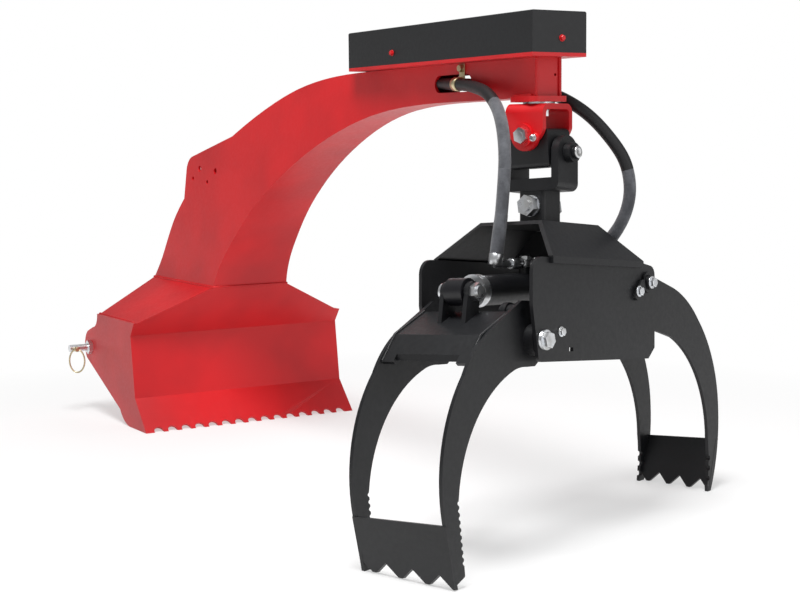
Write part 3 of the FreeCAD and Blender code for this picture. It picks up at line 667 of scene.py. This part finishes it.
@dataclass
class PortFitting:
    """Steel ferrule, bent pipe and banjo that join a hose to its port."""

    name: str
    hose_end: Vector
    direction: Vector
    port_y: float
    port_z: float

    def build(self) -> None:
        """Make the fitting, which rides on the cylinder."""
        along = self.direction.normalized()
        up = (HEAD_MATRIX.to_3x3() @ Vector((0.0, -0.056, 0.998))).normalized()
        top = head_spot(0.0, self.port_y, self.port_z)
        banjo = turned(top - up * 0.001, up, chamfered(0.017, 0.0125, 0.0015))
        nut = turned(top + up * 0.016, up, [(0.0, 0.0118), (0.0075, 0.0118), (0.009, 0.0095)], 6)
        level = top + up * 0.0085
        ferrule_end = self.hose_end + along * 0.020
        toward = (level - ferrule_end)
        toward -= up * toward.dot(up)
        knee = self.hose_end + along * 0.026
        knee += up * (level - knee).dot(up) * 0.9
        side = level - toward.normalized() * 0.040
        pipe = swept(spline_points([ferrule_end, knee, side, level]), even(0.0075), 20)
        ferrule = turned(self.hose_end - along * 0.002, along, chamfered(0.024, 0.0152, 0.0012))
        collar = turned(side - toward.normalized() * 0.008, toward, chamfered(0.030, 0.0118, 0.001))
        piece = keep(self.name, joined([banjo, nut, pipe, ferrule, collar]), ZINC)
        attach(piece, Body.CYLINDER.value)
        LOG.info("%s", self.name)


@dataclass
class HoseClamp:
    """Strap around the hose, bolted to the boom's side."""

    name: str
    sign: float

    def build(self) -> None:
        """Make strap, tab and bolt."""
        centre = spot(1296, self.sign * 44.5, 962)
        along = Vector((1.0, self.sign * 0.14, -0.04)).normalized()
        strap = turned(centre - along * 0.011, along, [(0, 0.0137), (0, 0.0156), (0.022, 0.0156), (0.022, 0.0137)])
        near, far = sorted((self.sign * 31.4, self.sign * 33.4))
        tab = block(spot(1285, near, 966), spot(1307, far, 1008), 0.0006)
        outward = Vector((0.0, self.sign, 0.0))
        washer = turned(spot(1296, self.sign * 33.4, 998), outward, chamfered(0.002, 0.0095, 0.0004))
        bolt = turned(spot(1296, self.sign * 35.4, 998), outward, [(0, 0.0088), (0.0055, 0.0088), (0.0068, 0.0075)], 6)
        piece = keep(self.name, joined([strap, tab, washer, bolt]), YELLOW_ZINC)
        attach(piece, Body.FRAME.value)
        LOG.info("%s", self.name)


# ---------------------------------------------------------------- small hardware
@dataclass
class LynchPin:
    """Pin through the hitch pin's end, with its spring ring."""

    name: str
    sign: float
    ring_r: float = 0.036
    wire_r: float = 0.0024

    def build(self) -> None:
        """Make pin, head and ring."""
        y = self.sign * 397.5
        base = spot(-374, y, 203)
        pin = turned(base, Vector((1, 0, 0)), [(0, 0.003), (0.004, 0.0048), (0.044, 0.0048), (0.046, 0.0042)], 24)
        knob = turned(base + Vector((0.044, 0, 0)), Vector((1, 0, 0)), chamfered(0.012, 0.008, 0.0015), 24)
        hinge = base + Vector((0.050, 0.0, 0.0))
        loop = []
        for step in range(41):
            angle = math.radians(90 - 350 * step / 40)
            drop = Vector((-0.35 * self.ring_r * math.cos(angle), 0.55 * self.sign * self.ring_r * math.cos(angle), 0.0))
            loop.append(hinge + drop + Vector((0.0, 0.0, self.ring_r * (math.sin(angle) - 1.0))))
        ring = swept(loop, even(self.wire_r), 14)
        piece = keep(self.name, joined([pin, knob, ring]), YELLOW_ZINC)
        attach(piece, Body.FRAME.value)
        LOG.info("%s", self.name)


# ---------------------------------------------------------------- weld beads
def bead_tree(finish) -> bpy.types.NodeTree:
    """Geometry Nodes that lay overlapping weld ripples along a line.

    Args:
        finish: Finish of the bead.

    Returns:
        The node group, with the ripple's radius and spacing as inputs.
    """
    tree = bpy.data.node_groups.new("weld_bead", "GeometryNodeTree")
    face = tree.interface
    face.new_socket("Geometry", in_out="INPUT", socket_type="NodeSocketGeometry")
    radius = face.new_socket("Ripple radius", in_out="INPUT", socket_type="NodeSocketFloat")
    radius.default_value = 0.004
    spacing = face.new_socket("Ripple spacing", in_out="INPUT", socket_type="NodeSocketFloat")
    spacing.default_value = 0.003
    face.new_socket("Geometry", in_out="OUTPUT", socket_type="NodeSocketGeometry")
    source = tree.nodes.new("NodeGroupInput")
    target = tree.nodes.new("NodeGroupOutput")
    line = tree.nodes.new("GeometryNodeMeshToCurve")
    even_steps = tree.nodes.new("GeometryNodeResampleCurve")
    even_steps.mode = "LENGTH"
    ball = tree.nodes.new("GeometryNodeMeshIcoSphere")
    ball.inputs["Subdivisions"].default_value = 2
    place = tree.nodes.new("GeometryNodeInstanceOnPoints")
    real = tree.nodes.new("GeometryNodeRealizeInstances")
    paint = tree.nodes.new("GeometryNodeSetMaterial")
    paint.inputs["Material"].default_value = SHOP.of(finish)
    links = tree.links
    links.new(source.outputs["Geometry"], line.inputs["Mesh"])
    links.new(line.outputs["Curve"], even_steps.inputs["Curve"])
    links.new(source.outputs["Ripple spacing"], even_steps.inputs["Length"])
    links.new(source.outputs["Ripple radius"], ball.inputs["Radius"])
    links.new(even_steps.outputs["Curve"], place.inputs["Points"])
    links.new(ball.outputs["Mesh"], place.inputs["Instance"])
    links.new(place.outputs["Instances"], real.inputs["Geometry"])
    links.new(real.outputs["Geometry"], paint.inputs["Geometry"])
    links.new(paint.outputs["Geometry"], target.inputs["Geometry"])
    return tree


@dataclass
class WeldSet:
    """Weld beads of one body, each along a straight or bent line."""

    name: str
    body: Body
    finish: Paint
    lines: list[list[Vector]]
    radius: float = 0.0042

    def build(self) -> None:
        """Lay the beads, bake them to a plain mesh and let them ride."""
        mesh = bpy.data.meshes.new(self.name)
        places = []
        edges = []
        for line in self.lines:
            start = len(places)
            places.extend(line)
            edges.extend((start + i, start + i + 1) for i in range(len(line) - 1))
        mesh.from_pydata([tuple(p) for p in places], edges, [])
        seed = bpy.data.objects.new(self.name, mesh)
        bpy.context.collection.objects.link(seed)
        live = seed.modifiers.new("bead", "NODES")
        live.node_group = bead_tree(self.finish)
        for item in live.node_group.interface.items_tree:
            if item.name == "Ripple radius" and item.in_out == "INPUT":
                live[item.identifier] = self.radius
            if item.name == "Ripple spacing" and item.in_out == "INPUT":
                live[item.identifier] = self.radius * 0.8
        graph = bpy.context.evaluated_depsgraph_get()
        baked = bpy.data.meshes.new_from_object(seed.evaluated_get(graph))
        bpy.data.objects.remove(seed)
        piece = keep(self.name, baked, self.finish)
        for polygon in piece.data.polygons:
            polygon.use_smooth = True
        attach(piece, self.body.value)
        LOG.info("%s: %d lines", self.name, len(self.lines))


def mirrored(lines: list[list[tuple[float, float, float]]], to_scene) -> list[list[Vector]]:
    """Lines on both sides of the drawing's middle plane Y = 0, as places in the scene."""
    result = []
    for sign in (1, -1):
        for line in lines:
            result.append([to_scene(x, sign * y, z) for x, y, z in line])
    return result


def weld_sets() -> list[WeldSet]:
    """All weld beads of the object."""
    frame_lines = mirrored([
        [(-361, 120, 412), (93, 120, 412)],
        [(-289, 331, 313), (-12, 331, 312)],
        [(BOOM_END, 31, 930), (BOOM_END, 31, 1007)],
        [(1500, 33, 929), (1560, 33, 929)],
    ], spot)
    frame_lines += [[spot(93, -118, 412), spot(93, 118, 412)]]
    head_lines = []
    for sx, sy in ((1, 1), (1, -1), (-1, 1), (-1, -1)):
        corner = (33 * sx, 33 * sy)
        head_lines.append([head_spot(33 * sx, -33 * sy, 656), head_spot(*corner, 656)])
        head_lines.append([head_spot(-33 * sx, 33 * sy, 656), head_spot(*corner, 656)])
    head_lines += [[head_spot(s * 146, -150, 575), head_spot(s * 146, 150, 575)] for s in (1, -1)]
    left_lines = [[head_spot(s * 107, -262, 466), head_spot(s * 107, -355, 420), head_spot(s * 107, -394, 368)]
                  for s in (1, -1)]
    right_lines = [[head_spot(s * 89, 352, 534), head_spot(s * 89, 455, 492), head_spot(s * 89, 510, 448)]
                   for s in (1, -1)]
    return [
        WeldSet("frame_welds", Body.FRAME, RED, frame_lines),
        WeldSet("head_welds", Body.HEAD, BLACK, head_lines),
        WeldSet("left_jaw_welds", Body.LEFT_JAW, BLACK, left_lines, 0.0036),
        WeldSet("right_jaw_welds", Body.RIGHT_JAW, BLACK, right_lines, 0.0036),
    ]


# ---------------------------------------------------------------- forms that the CAD nodes show too plainly
def arc_points(first, via, last, steps: int = 18) -> list[tuple[float, float]]:
    """Points on the circle through three points, without the first.

    Args:
        first: Start of the arc.
        via: Point that it passes.
        last: End of the arc.
        steps: Straight pieces.

    Returns:
        The points.
    """
    ax, ay = first
    bx, by = via
    cx, cy = last
    d = 2 * (ax * (by - cy) + bx * (cy - ay) + cx * (ay - by))
    ux = ((ax**2 + ay**2) * (by - cy) + (bx**2 + by**2) * (cy - ay) + (cx**2 + cy**2) * (ay - by)) / d
    uy = ((ax**2 + ay**2) * (cx - bx) + (bx**2 + by**2) * (ax - cx) + (cx**2 + cy**2) * (bx - ax)) / d
    radius = math.hypot(ax - ux, ay - uy)
    start, middle, end = (math.atan2(y - uy, x - ux) for x, y in (first, via, last))
    sweep = (end - start) % (2 * math.pi)
    if (middle - start) % (2 * math.pi) > sweep:
        sweep -= 2 * math.pi
    angles = [start + sweep * i / steps for i in range(1, steps + 1)]
    return [(ux + radius * math.cos(a), uy + radius * math.sin(a)) for a in angles]


def traced(start, steps) -> list[tuple[float, float]]:
    """Closed outline of straight steps ("L", point) and arcs ("A", via, point)."""
    points = [start]
    for step in steps:
        if step[0] == "L":
            points.append(step[1])
        else:
            points.extend(arc_points(points[-1], step[1], step[2]))
    if math.dist(points[0], points[-1]) < 0.01:
        points.pop()
    return points


def solid_between(first: list[Vector], second: list[Vector]) -> bpy.types.Mesh:
    """Closed plate between two matching outlines."""
    form = bmesh.new()
    low = [form.verts.new(point) for point in first]
    high = [form.verts.new(point) for point in second]
    form.faces.new(low)
    form.faces.new(list(reversed(high)))
    count = len(low)
    for i in range(count):
        j = (i + 1) % count
        form.faces.new((low[i], high[i], high[j], low[j]))
    bmesh.ops.recalc_face_normals(form, faces=form.faces)
    mesh = bpy.data.meshes.new("plate")
    form.to_mesh(mesh)
    form.free()
    return mesh


def head_plate(points: list[tuple[float, float]], x0: float, x1: float) -> bpy.types.Mesh:
    """Plate across the head's X axis with an outline in (y, z)."""
    return solid_between([head_spot(x0, y, z) for y, z in points], [head_spot(x1, y, z) for y, z in points])


def ground_z(x: float, y: float) -> float:
    """Height in the head's drawing at which a point touches the ground."""
    low = head_spot(x, y, 0.0).z
    rise = head_spot(x, y, 1.0).z - low
    return (0.0015 - low) / rise


def serrated(start, end, count: int, depth: float) -> list[tuple[float, float]]:
    """Row of small rounded bites from start to end, cut towards negative Y or positive Y by depth's sign."""
    points = []
    for i in range(count):
        for part, bite in ((0.15, 0.0), (0.35, 0.8), (0.5, 1.0), (0.65, 0.8), (0.85, 0.0)):
            t = (i + part) / count
            y = start[0] + (end[0] - start[0]) * t + depth * bite
            points.append((y, start[1] + (end[1] - start[1]) * t))
    return points


def left_jaw_outline() -> list[tuple[float, float]]:
    """Outline of the wide jaw's plates, with the bites near the tip."""
    steps = [("L", (-338, 428)), ("A", (-376, 398.5), (-417, 343)), ("A", (-483.5, 161), (-472, 62))]
    steps += [("L", (-444, -50)), ("L", (-413, -34)), ("L", (-415, -18))]
    steps += [("L", point) for point in serrated((-415, -16), (-434, 112), 9, -4.5)]
    steps += [("L", (-433, 116)), ("A", (-386, 247), (-256, 350)), ("A", (-236, 355), (-214, 356))]
    steps += [("L", (-184, 357)), ("L", (-172, 366)), ("A", (-147, 408), (-166, 452)), ("L", (-200, 488))]
    return traced((-230, 488), steps)


def tip_plate(top: tuple[float, float], low_y: float, half: float, depth: float, inward: float) -> bpy.types.Mesh:
    """Tip plate with pointed teeth that end at the ground.

    Args:
        top: Upper edge of the outer face as (y, z).
        low_y: Y of the teeth's points.
        half: Half of the width.
        depth: Depth of the teeth.
        inward: Thickness towards the inside of the jaw, with its sign.

    Returns:
        The plate.
    """
    teeth = 3.5
    pitch = 2 * half / teeth
    rows = [(half, top[0], top[1]), (-half, top[0], top[1])]
    lower = []
    flat = pitch * 0.07
    for i in range(4):
        tip = half - pitch * i
        for x, at_tip in ((tip, True), (tip - flat, True), (tip - pitch / 2, False), (tip - pitch + flat, True)):
            if x >= -half - 0.01 and not (i == 0 and x > half):
                lower.append((x, at_tip))
    lower.sort()
    for x, at_tip in lower:
        base = ground_z(x, low_y) + (0.0 if at_tip else depth)
        share = (top[1] - base) / (top[1] - ground_z(x, low_y))
        rows.append((x, top[0] + (low_y - top[0]) * share, base))
    outer = [head_spot(x, y, z) for x, y, z in rows]
    inner = [head_spot(x, y + inward, z) for x, y, z in rows]
    return solid_between(outer, inner)


def build_jaw_forms() -> None:
    """Wide jaw's plates and both toothed tip plates."""
    outline = left_jaw_outline()
    plates = joined([head_plate(outline, 107, 115), head_plate(outline, -115, -107)])
    piece = keep("left_jaw_plates_shown", plates, BLACK)
    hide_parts("left_jaw_plates")
    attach(piece, Body.LEFT_JAW.value)
    left = keep("left_tip_plate_shown", tip_plate((-474.5, 66), -445.5, 115.4, 24, 10), BLACK)
    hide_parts("left_tip_plate")
    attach(left, Body.LEFT_JAW.value)
    right = keep("right_tip_plate_shown", tip_plate((612, 166), 576, 97.4, 24, -10), BLACK)
    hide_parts("right_tip_plate")
    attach(right, Body.RIGHT_JAW.value)


def build_roof_stiffener() -> None:
    """Upright plate under the roof, between its slopes, on the side of the narrow jaw."""
    low = 588.0
    edge = 78.0 + (647.0 - low) * 74.0 / 78.0 - 4.0
    outline = [(-edge, low), (-76, 646), (76, 646), (edge, low)]
    near = [head_spot(x, 92, z) for x, z in outline]
    far = [head_spot(x, 98, z) for x, z in outline]
    piece = keep("roof_stiffener", solid_between(near, far), BLACK)
    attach(piece, Body.HEAD.value)


def build_head_corners() -> None:
    """Rounded upper corner of both side plates, on the side of the wide jaw."""
    corner = traced((-173, 575), [("L", (-203, 575)), ("A", (-225, 565), (-234, 541)), ("L", (-234, 536))])
    plates = joined([head_plate(corner, 136, 144), head_plate(corner, -144, -136)])
    piece = keep("head_plate_corners", plates, BLACK)
    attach(piece, Body.HEAD.value)


def build_rod_lugs() -> None:
    """Slim lugs that carry the rod's pin."""
    steps = [("L", (-268, 449)), ("L", (-260, 500)), ("A", (-280, 526), (-301, 500))]
    outline = traced((-312, 428), steps)
    plates = joined([head_plate(outline, 25, 35), head_plate(outline, -35, -25)])
    piece = keep("rod_lugs_shown", plates, BLACK)
    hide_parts("rod_lugs")
    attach(piece, Body.LEFT_JAW.value)


def head_direction(sign: float) -> Vector:
    """Direction of the head's X axis in the scene, with a sign."""
    return (HEAD_MATRIX.to_3x3() @ Vector((sign, 0.0, 0.0))).normalized()


def bolt(place: Vector, out: Vector, across: float, height: float, washer: float) -> list[bpy.types.Mesh]:
    """Hexagon head with a chamfered top on a round washer."""
    radius = across / math.sqrt(3.0)
    head = [(0.0, radius), (height - 0.0012, radius), (height, radius - 0.0015)]
    return [
        turned(place, out, chamfered(0.002, washer, 0.0004)),
        turned(place + out * 0.002, out, head, 6),
    ]


def build_pin_hardware() -> None:
    """Lower pivot pins, keepers and the bolts on the shafts' ends."""
    shiny = []
    dark = []
    for sign in (1.0, -1.0):
        out = head_direction(sign)
        shiny += [turned(head_spot(sign * 100, -194, 410), out, chamfered(0.0495, 0.020, 0.001))]
        shiny += bolt(head_spot(sign * 149, -194, 410), out, 0.030, 0.010, 0.0205)
        shiny += bolt(head_spot(sign * 144, -134, 426), out, 0.015, 0.006, 0.0105)
        shiny += bolt(head_spot(sign * 152, 155, 512), out, 0.017, 0.007, 0.0120)
        shiny += bolt(head_spot(sign * 156, 201, 532), out, 0.019, 0.008, 0.0135)
        bar = [(141, 498), (150, 492), (184, 516), (178, 538), (166, 536)]
        dark.append(head_plate(bar, sign * 144.2, sign * 152))
    pins = keep("pivot_hardware", joined(shiny), ZINC)
    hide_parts("lower_pivot_pins", "keepers")
    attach(pins, Body.HEAD.value)
    bars = keep("keeper_bars", joined(dark), BLACK)
    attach(bars, Body.HEAD.value)
    yaw = Matrix.Translation(BOOM_ORIGIN + Vector((1.545, 0, 0))) @ Matrix.Rotation(math.radians(19.5), 4, "Z")
    out = (yaw.to_3x3() @ Vector((0.0, -1.0, 0.0))).normalized()
    boss = keep("keeper_boss", turned(yaw @ Vector((0.029, -0.055, 0.840)), out, chamfered(0.0085, 0.0105)), RED)
    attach(boss, Body.HANGER.value)
    screw = keep("keeper_screw", joined(bolt(yaw @ Vector((0.029, -0.0635, 0.840)), out, 0.012, 0.005, 0.0078)), ZINC)
    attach(screw, Body.HANGER.value)
    lift = Matrix.Translation((0.0, 0.0, 0.845))
    cross = yaw @ lift @ Matrix.Rotation(math.radians(-3.8), 4, "Y") @ lift.inverted()
    out = (cross.to_3x3() @ Vector((1.0, 0.0, 0.0))).normalized()
    profile = [(0.0, 0.0132), (0.0022, 0.0132), (0.0034, 0.0118), (0.0034, 0.0052), (0.0016, 0.0040)]
    cap = keep("swing_pin_cap", turned(cross @ Vector((0.0960, 0.0, 0.803)), out, profile), ZINC)
    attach(cap, Body.CROSS.value)


def build_screws() -> None:
    """Small screws that hold the cover, in place of the plain bolts."""
    meshes = []
    for x, y, z, way in ((1051, -70, 1044, (0, -1, 0)), (1051, 70, 1044, (0, 1, 0)), (1618, 6, 1047, (1, 0, 0))):
        out = Vector(way)
        meshes.append(turned(spot(x, y, z), out, chamfered(0.0015, 0.0075, 0.0004)))
        meshes.append(turned(spot(x, y, z) + out * 0.0015, out, [(0, 0.0058), (0.004, 0.0058), (0.005, 0.0048)], 6))
    piece = keep("cover_screws", joined(meshes), RED)
    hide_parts("box_bolts")
    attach(piece, Body.FRAME.value)


def build_blade(frame: dict) -> None:
    """Blade with its row of round notches cut as deep as the real ones.

    Args:
        frame: The loaded frame.
    """
    piece = keep("blade_shown", frame["nodes"]["blade"].data.copy(), RED)
    inner, count = 331.5, 15
    pitch = (2 * inner - 20) / count
    down = Vector((82.0, 0.0, -91.0)).normalized()
    across = Vector((down.z, 0.0, -down.x))
    cutters = []
    for i in range(count):
        y = -inner + 10 + pitch * (i + 0.5)
        toe = spot(96.0, y, 0.0) - down * 0.004
        cutters.append(turned(toe - across * 0.05, across, [(0.0, 0.0145), (0.1, 0.0145)], 32))
    tool = keep("notches", joined(cutters), RED)
    cut = piece.modifiers.new("notches", "BOOLEAN")
    cut.operation = "DIFFERENCE"
    cut.solver = "EXACT"
    cut.object = tool
    graph = bpy.context.evaluated_depsgraph_get()
    notched = bpy.data.meshes.new_from_object(piece.evaluated_get(graph))
    piece.modifiers.clear()
    piece.data = notched
    bpy.data.objects.remove(tool)
    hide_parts("blade")
    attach(piece, Body.FRAME.value)


BOOM_END = 1577.0


@dataclass
class Studio:
    """Camera, floor, lamps and the white surroundings."""

    camera_at: Vector = field(default_factory=lambda: Vector((4.223, -1.956, 0.838)) + BOOM_ORIGIN)
    heading: float = 0.540
    pitch: float = 0.104
    roll: float = -0.009
    focal_px: float = 1533.176
    frame_px: float = 800.0
    floor_size: float = 40.0
    fade_from: float = 1.25
    fade_to: float = 2.1
    glow_near: float = 0.5

    def build(self) -> None:
        """Make the camera, the floor, the lamps and the world."""
        self.camera()
        self.floor()
        self.lamps()
        self.world()

    def camera(self) -> None:
        """Place the camera at its viewing angle."""
        a, p, r = self.heading, self.pitch, self.roll
        forward = Vector((-math.cos(a) * math.cos(p), math.sin(a) * math.cos(p), -math.sin(p)))
        level = forward.cross(Vector((0, 0, 1))).normalized()
        above = level.cross(forward)
        right = math.cos(r) * level + math.sin(r) * above
        up = -math.sin(r) * level + math.cos(r) * above
        data = bpy.data.cameras.new("camera")
        data.sensor_width = 36.0
        data.lens = self.focal_px / self.frame_px * data.sensor_width
        data.clip_end = 200.0
        camera = bpy.data.objects.new("camera", data)
        turn = Matrix((right, up, -forward)).transposed()
        camera.matrix_world = Matrix.Translation(self.camera_at) @ turn.to_4x4()
        bpy.context.collection.objects.link(camera)
        bpy.context.scene.camera = camera

    def floor(self) -> None:
        """Lay a pale floor that keeps the object's shadow."""
        mesh = bpy.data.meshes.new("floor")
        half = self.floor_size / 2
        corners = [(-half, -half, -0.001), (half, -half, -0.001), (half, half, -0.001), (-half, half, -0.001)]
        mesh.from_pydata(corners, [], [(0, 1, 2, 3)])
        floor = bpy.data.objects.new("floor", mesh)
        bpy.context.collection.objects.link(floor)
        mesh.materials.append(self.floor_material())

    def floor_material(self) -> bpy.types.Material:
        """Pale floor that fades to the white of the surroundings away from the object."""
        material, shader = new_material("pale_floor")
        tree = material.node_tree
        shader.inputs["Base Color"].default_value = (0.90, 0.90, 0.90, 1.0)
        shader.inputs["Roughness"].default_value = 0.95
        shader.inputs["Specular IOR Level"].default_value = 0.1
        place = tree.nodes.new("ShaderNodeTexCoord").outputs["Object"]
        reach = tree.nodes.new("ShaderNodeVectorMath")
        reach.operation = "LENGTH"
        tree.links.new(place, reach.inputs[0])
        fade = ramp_range(tree, reach.outputs["Value"], self.fade_from, self.fade_to, self.glow_near, 1.0)
        glow = tree.nodes.new("ShaderNodeEmission")
        glow.inputs["Color"].default_value = (1.0, 1.0, 1.0, 1.0)
        glow.inputs["Strength"].default_value = 1.0
        blend = tree.nodes.new("ShaderNodeMixShader")
        output = tree.nodes["Material Output"]
        tree.links.new(fade, blend.inputs["Fac"])
        tree.links.new(shader.outputs[0], blend.inputs[1])
        tree.links.new(glow.outputs[0], blend.inputs[2])
        tree.links.new(blend.outputs[0], output.inputs["Surface"])
        return material

    def lamps(self) -> None:
        """Hang soft lamps around the object."""
        lamps = [
            ("key", (1.4, -1.2, 4.4), 210.0, 1.6),
            ("fill", (4.2, 1.6, 2.2), 30.0, 3.0),
            ("back", (-3.0, 2.4, 3.0), 40.0, 3.0),
        ]
        for name, place, power, size in lamps:
            data = bpy.data.lights.new(name, "AREA")
            data.energy = power
            data.size = size
            lamp = bpy.data.objects.new(name, data)
            lamp.location = place
            aim = Vector((0.1, 0.0, 0.5)) - Vector(place)
            lamp.rotation_euler = aim.to_track_quat("-Z", "Y").to_euler()
            bpy.context.collection.objects.link(lamp)

    def world(self) -> None:
        """Surround the object with even light and a white backdrop."""
        world = bpy.data.worlds.new("studio")
        bpy.context.scene.world = world
        world.use_nodes = True
        tree = world.node_tree
        background = tree.nodes["Background"]
        path = tree.nodes.new("ShaderNodeLightPath")
        seen = tree.nodes.new("ShaderNodeMath")
        seen.operation = "MAXIMUM"
        tree.links.new(path.outputs["Is Camera Ray"], seen.inputs[0])
        tree.links.new(path.outputs["Is Transmission Ray"], seen.inputs[1])
        strength = tree.nodes.new("ShaderNodeMapRange")
        strength.inputs["To Min"].default_value = 0.30
        strength.inputs["To Max"].default_value = 1.0
        tree.links.new(seen.outputs[0], strength.inputs["Value"])
        tree.links.new(strength.outputs["Result"], background.inputs["Strength"])
        background.inputs["Color"].default_value = (1.0, 1.0, 1.0, 1.0)


def dress_nodes(frame: dict) -> None:
    """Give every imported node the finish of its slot.

    Args:
        frame: The loaded frame.
    """
    for part in frame["record"]["subparts"]:
        node = frame["nodes"][part["node"]]
        finish = FINISH_OF_NODE.get(part["node"], FINISH_OF_SLOT[part["material_slot"]])
        material = SHOP.of(finish)
        for slot in node.material_slots:
            slot.material = material
        if not node.material_slots:
            node.data.materials.append(material)


def build_pieces(frame: dict) -> None:
    """Hoses with their clamps and fittings, finer forms, lynch pins and welds.

    Args:
        frame: The loaded frame.
    """
    Hose("near_hose", NEAR_ROUTE, (5, 7), 4, (RUBBER, SLEEVE, SLEEVE)).build()
    Hose("far_hose", FAR_ROUTE, (6, 10), 5, (RUBBER, RUBBER, SLEEVE)).build()
    near_way = Vector((1.0, -11.0, -57.0))
    far_way = Vector((-35.0, -8.0, -36.0))
    PortFitting("near_port_fitting", spot(*NEAR_ROUTE[-1]), near_way, -53.6, 561.2).build()
    PortFitting("far_port_fitting", spot(*FAR_ROUTE[-1]), far_way, 126.1, 571.3).build()
    HoseClamp("near_hose_clamp", -1.0).build()
    HoseClamp("far_hose_clamp", 1.0).build()
    LynchPin("near_lynch_pin", -1.0).build()
    LynchPin("far_lynch_pin", 1.0).build()
    build_jaw_forms()
    build_roof_stiffener()
    build_rod_lugs()
    build_pin_hardware()
    build_head_corners()
    build_screws()
    build_blade(frame)
    for welds in weld_sets():
        welds.build()


def main() -> None:
    """Build the scene in order, logging some of the pieces as they are made."""
    logging.basicConfig(level=logging.INFO, format="%(message)s")
    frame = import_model()
    Studio().build()
    dress_nodes(frame)
    build_pieces(frame)
    scene = bpy.context.scene
    scene.view_settings.view_transform = "Standard"
    LOG.info("scene ready")


if __name__ == "__main__":
    main()
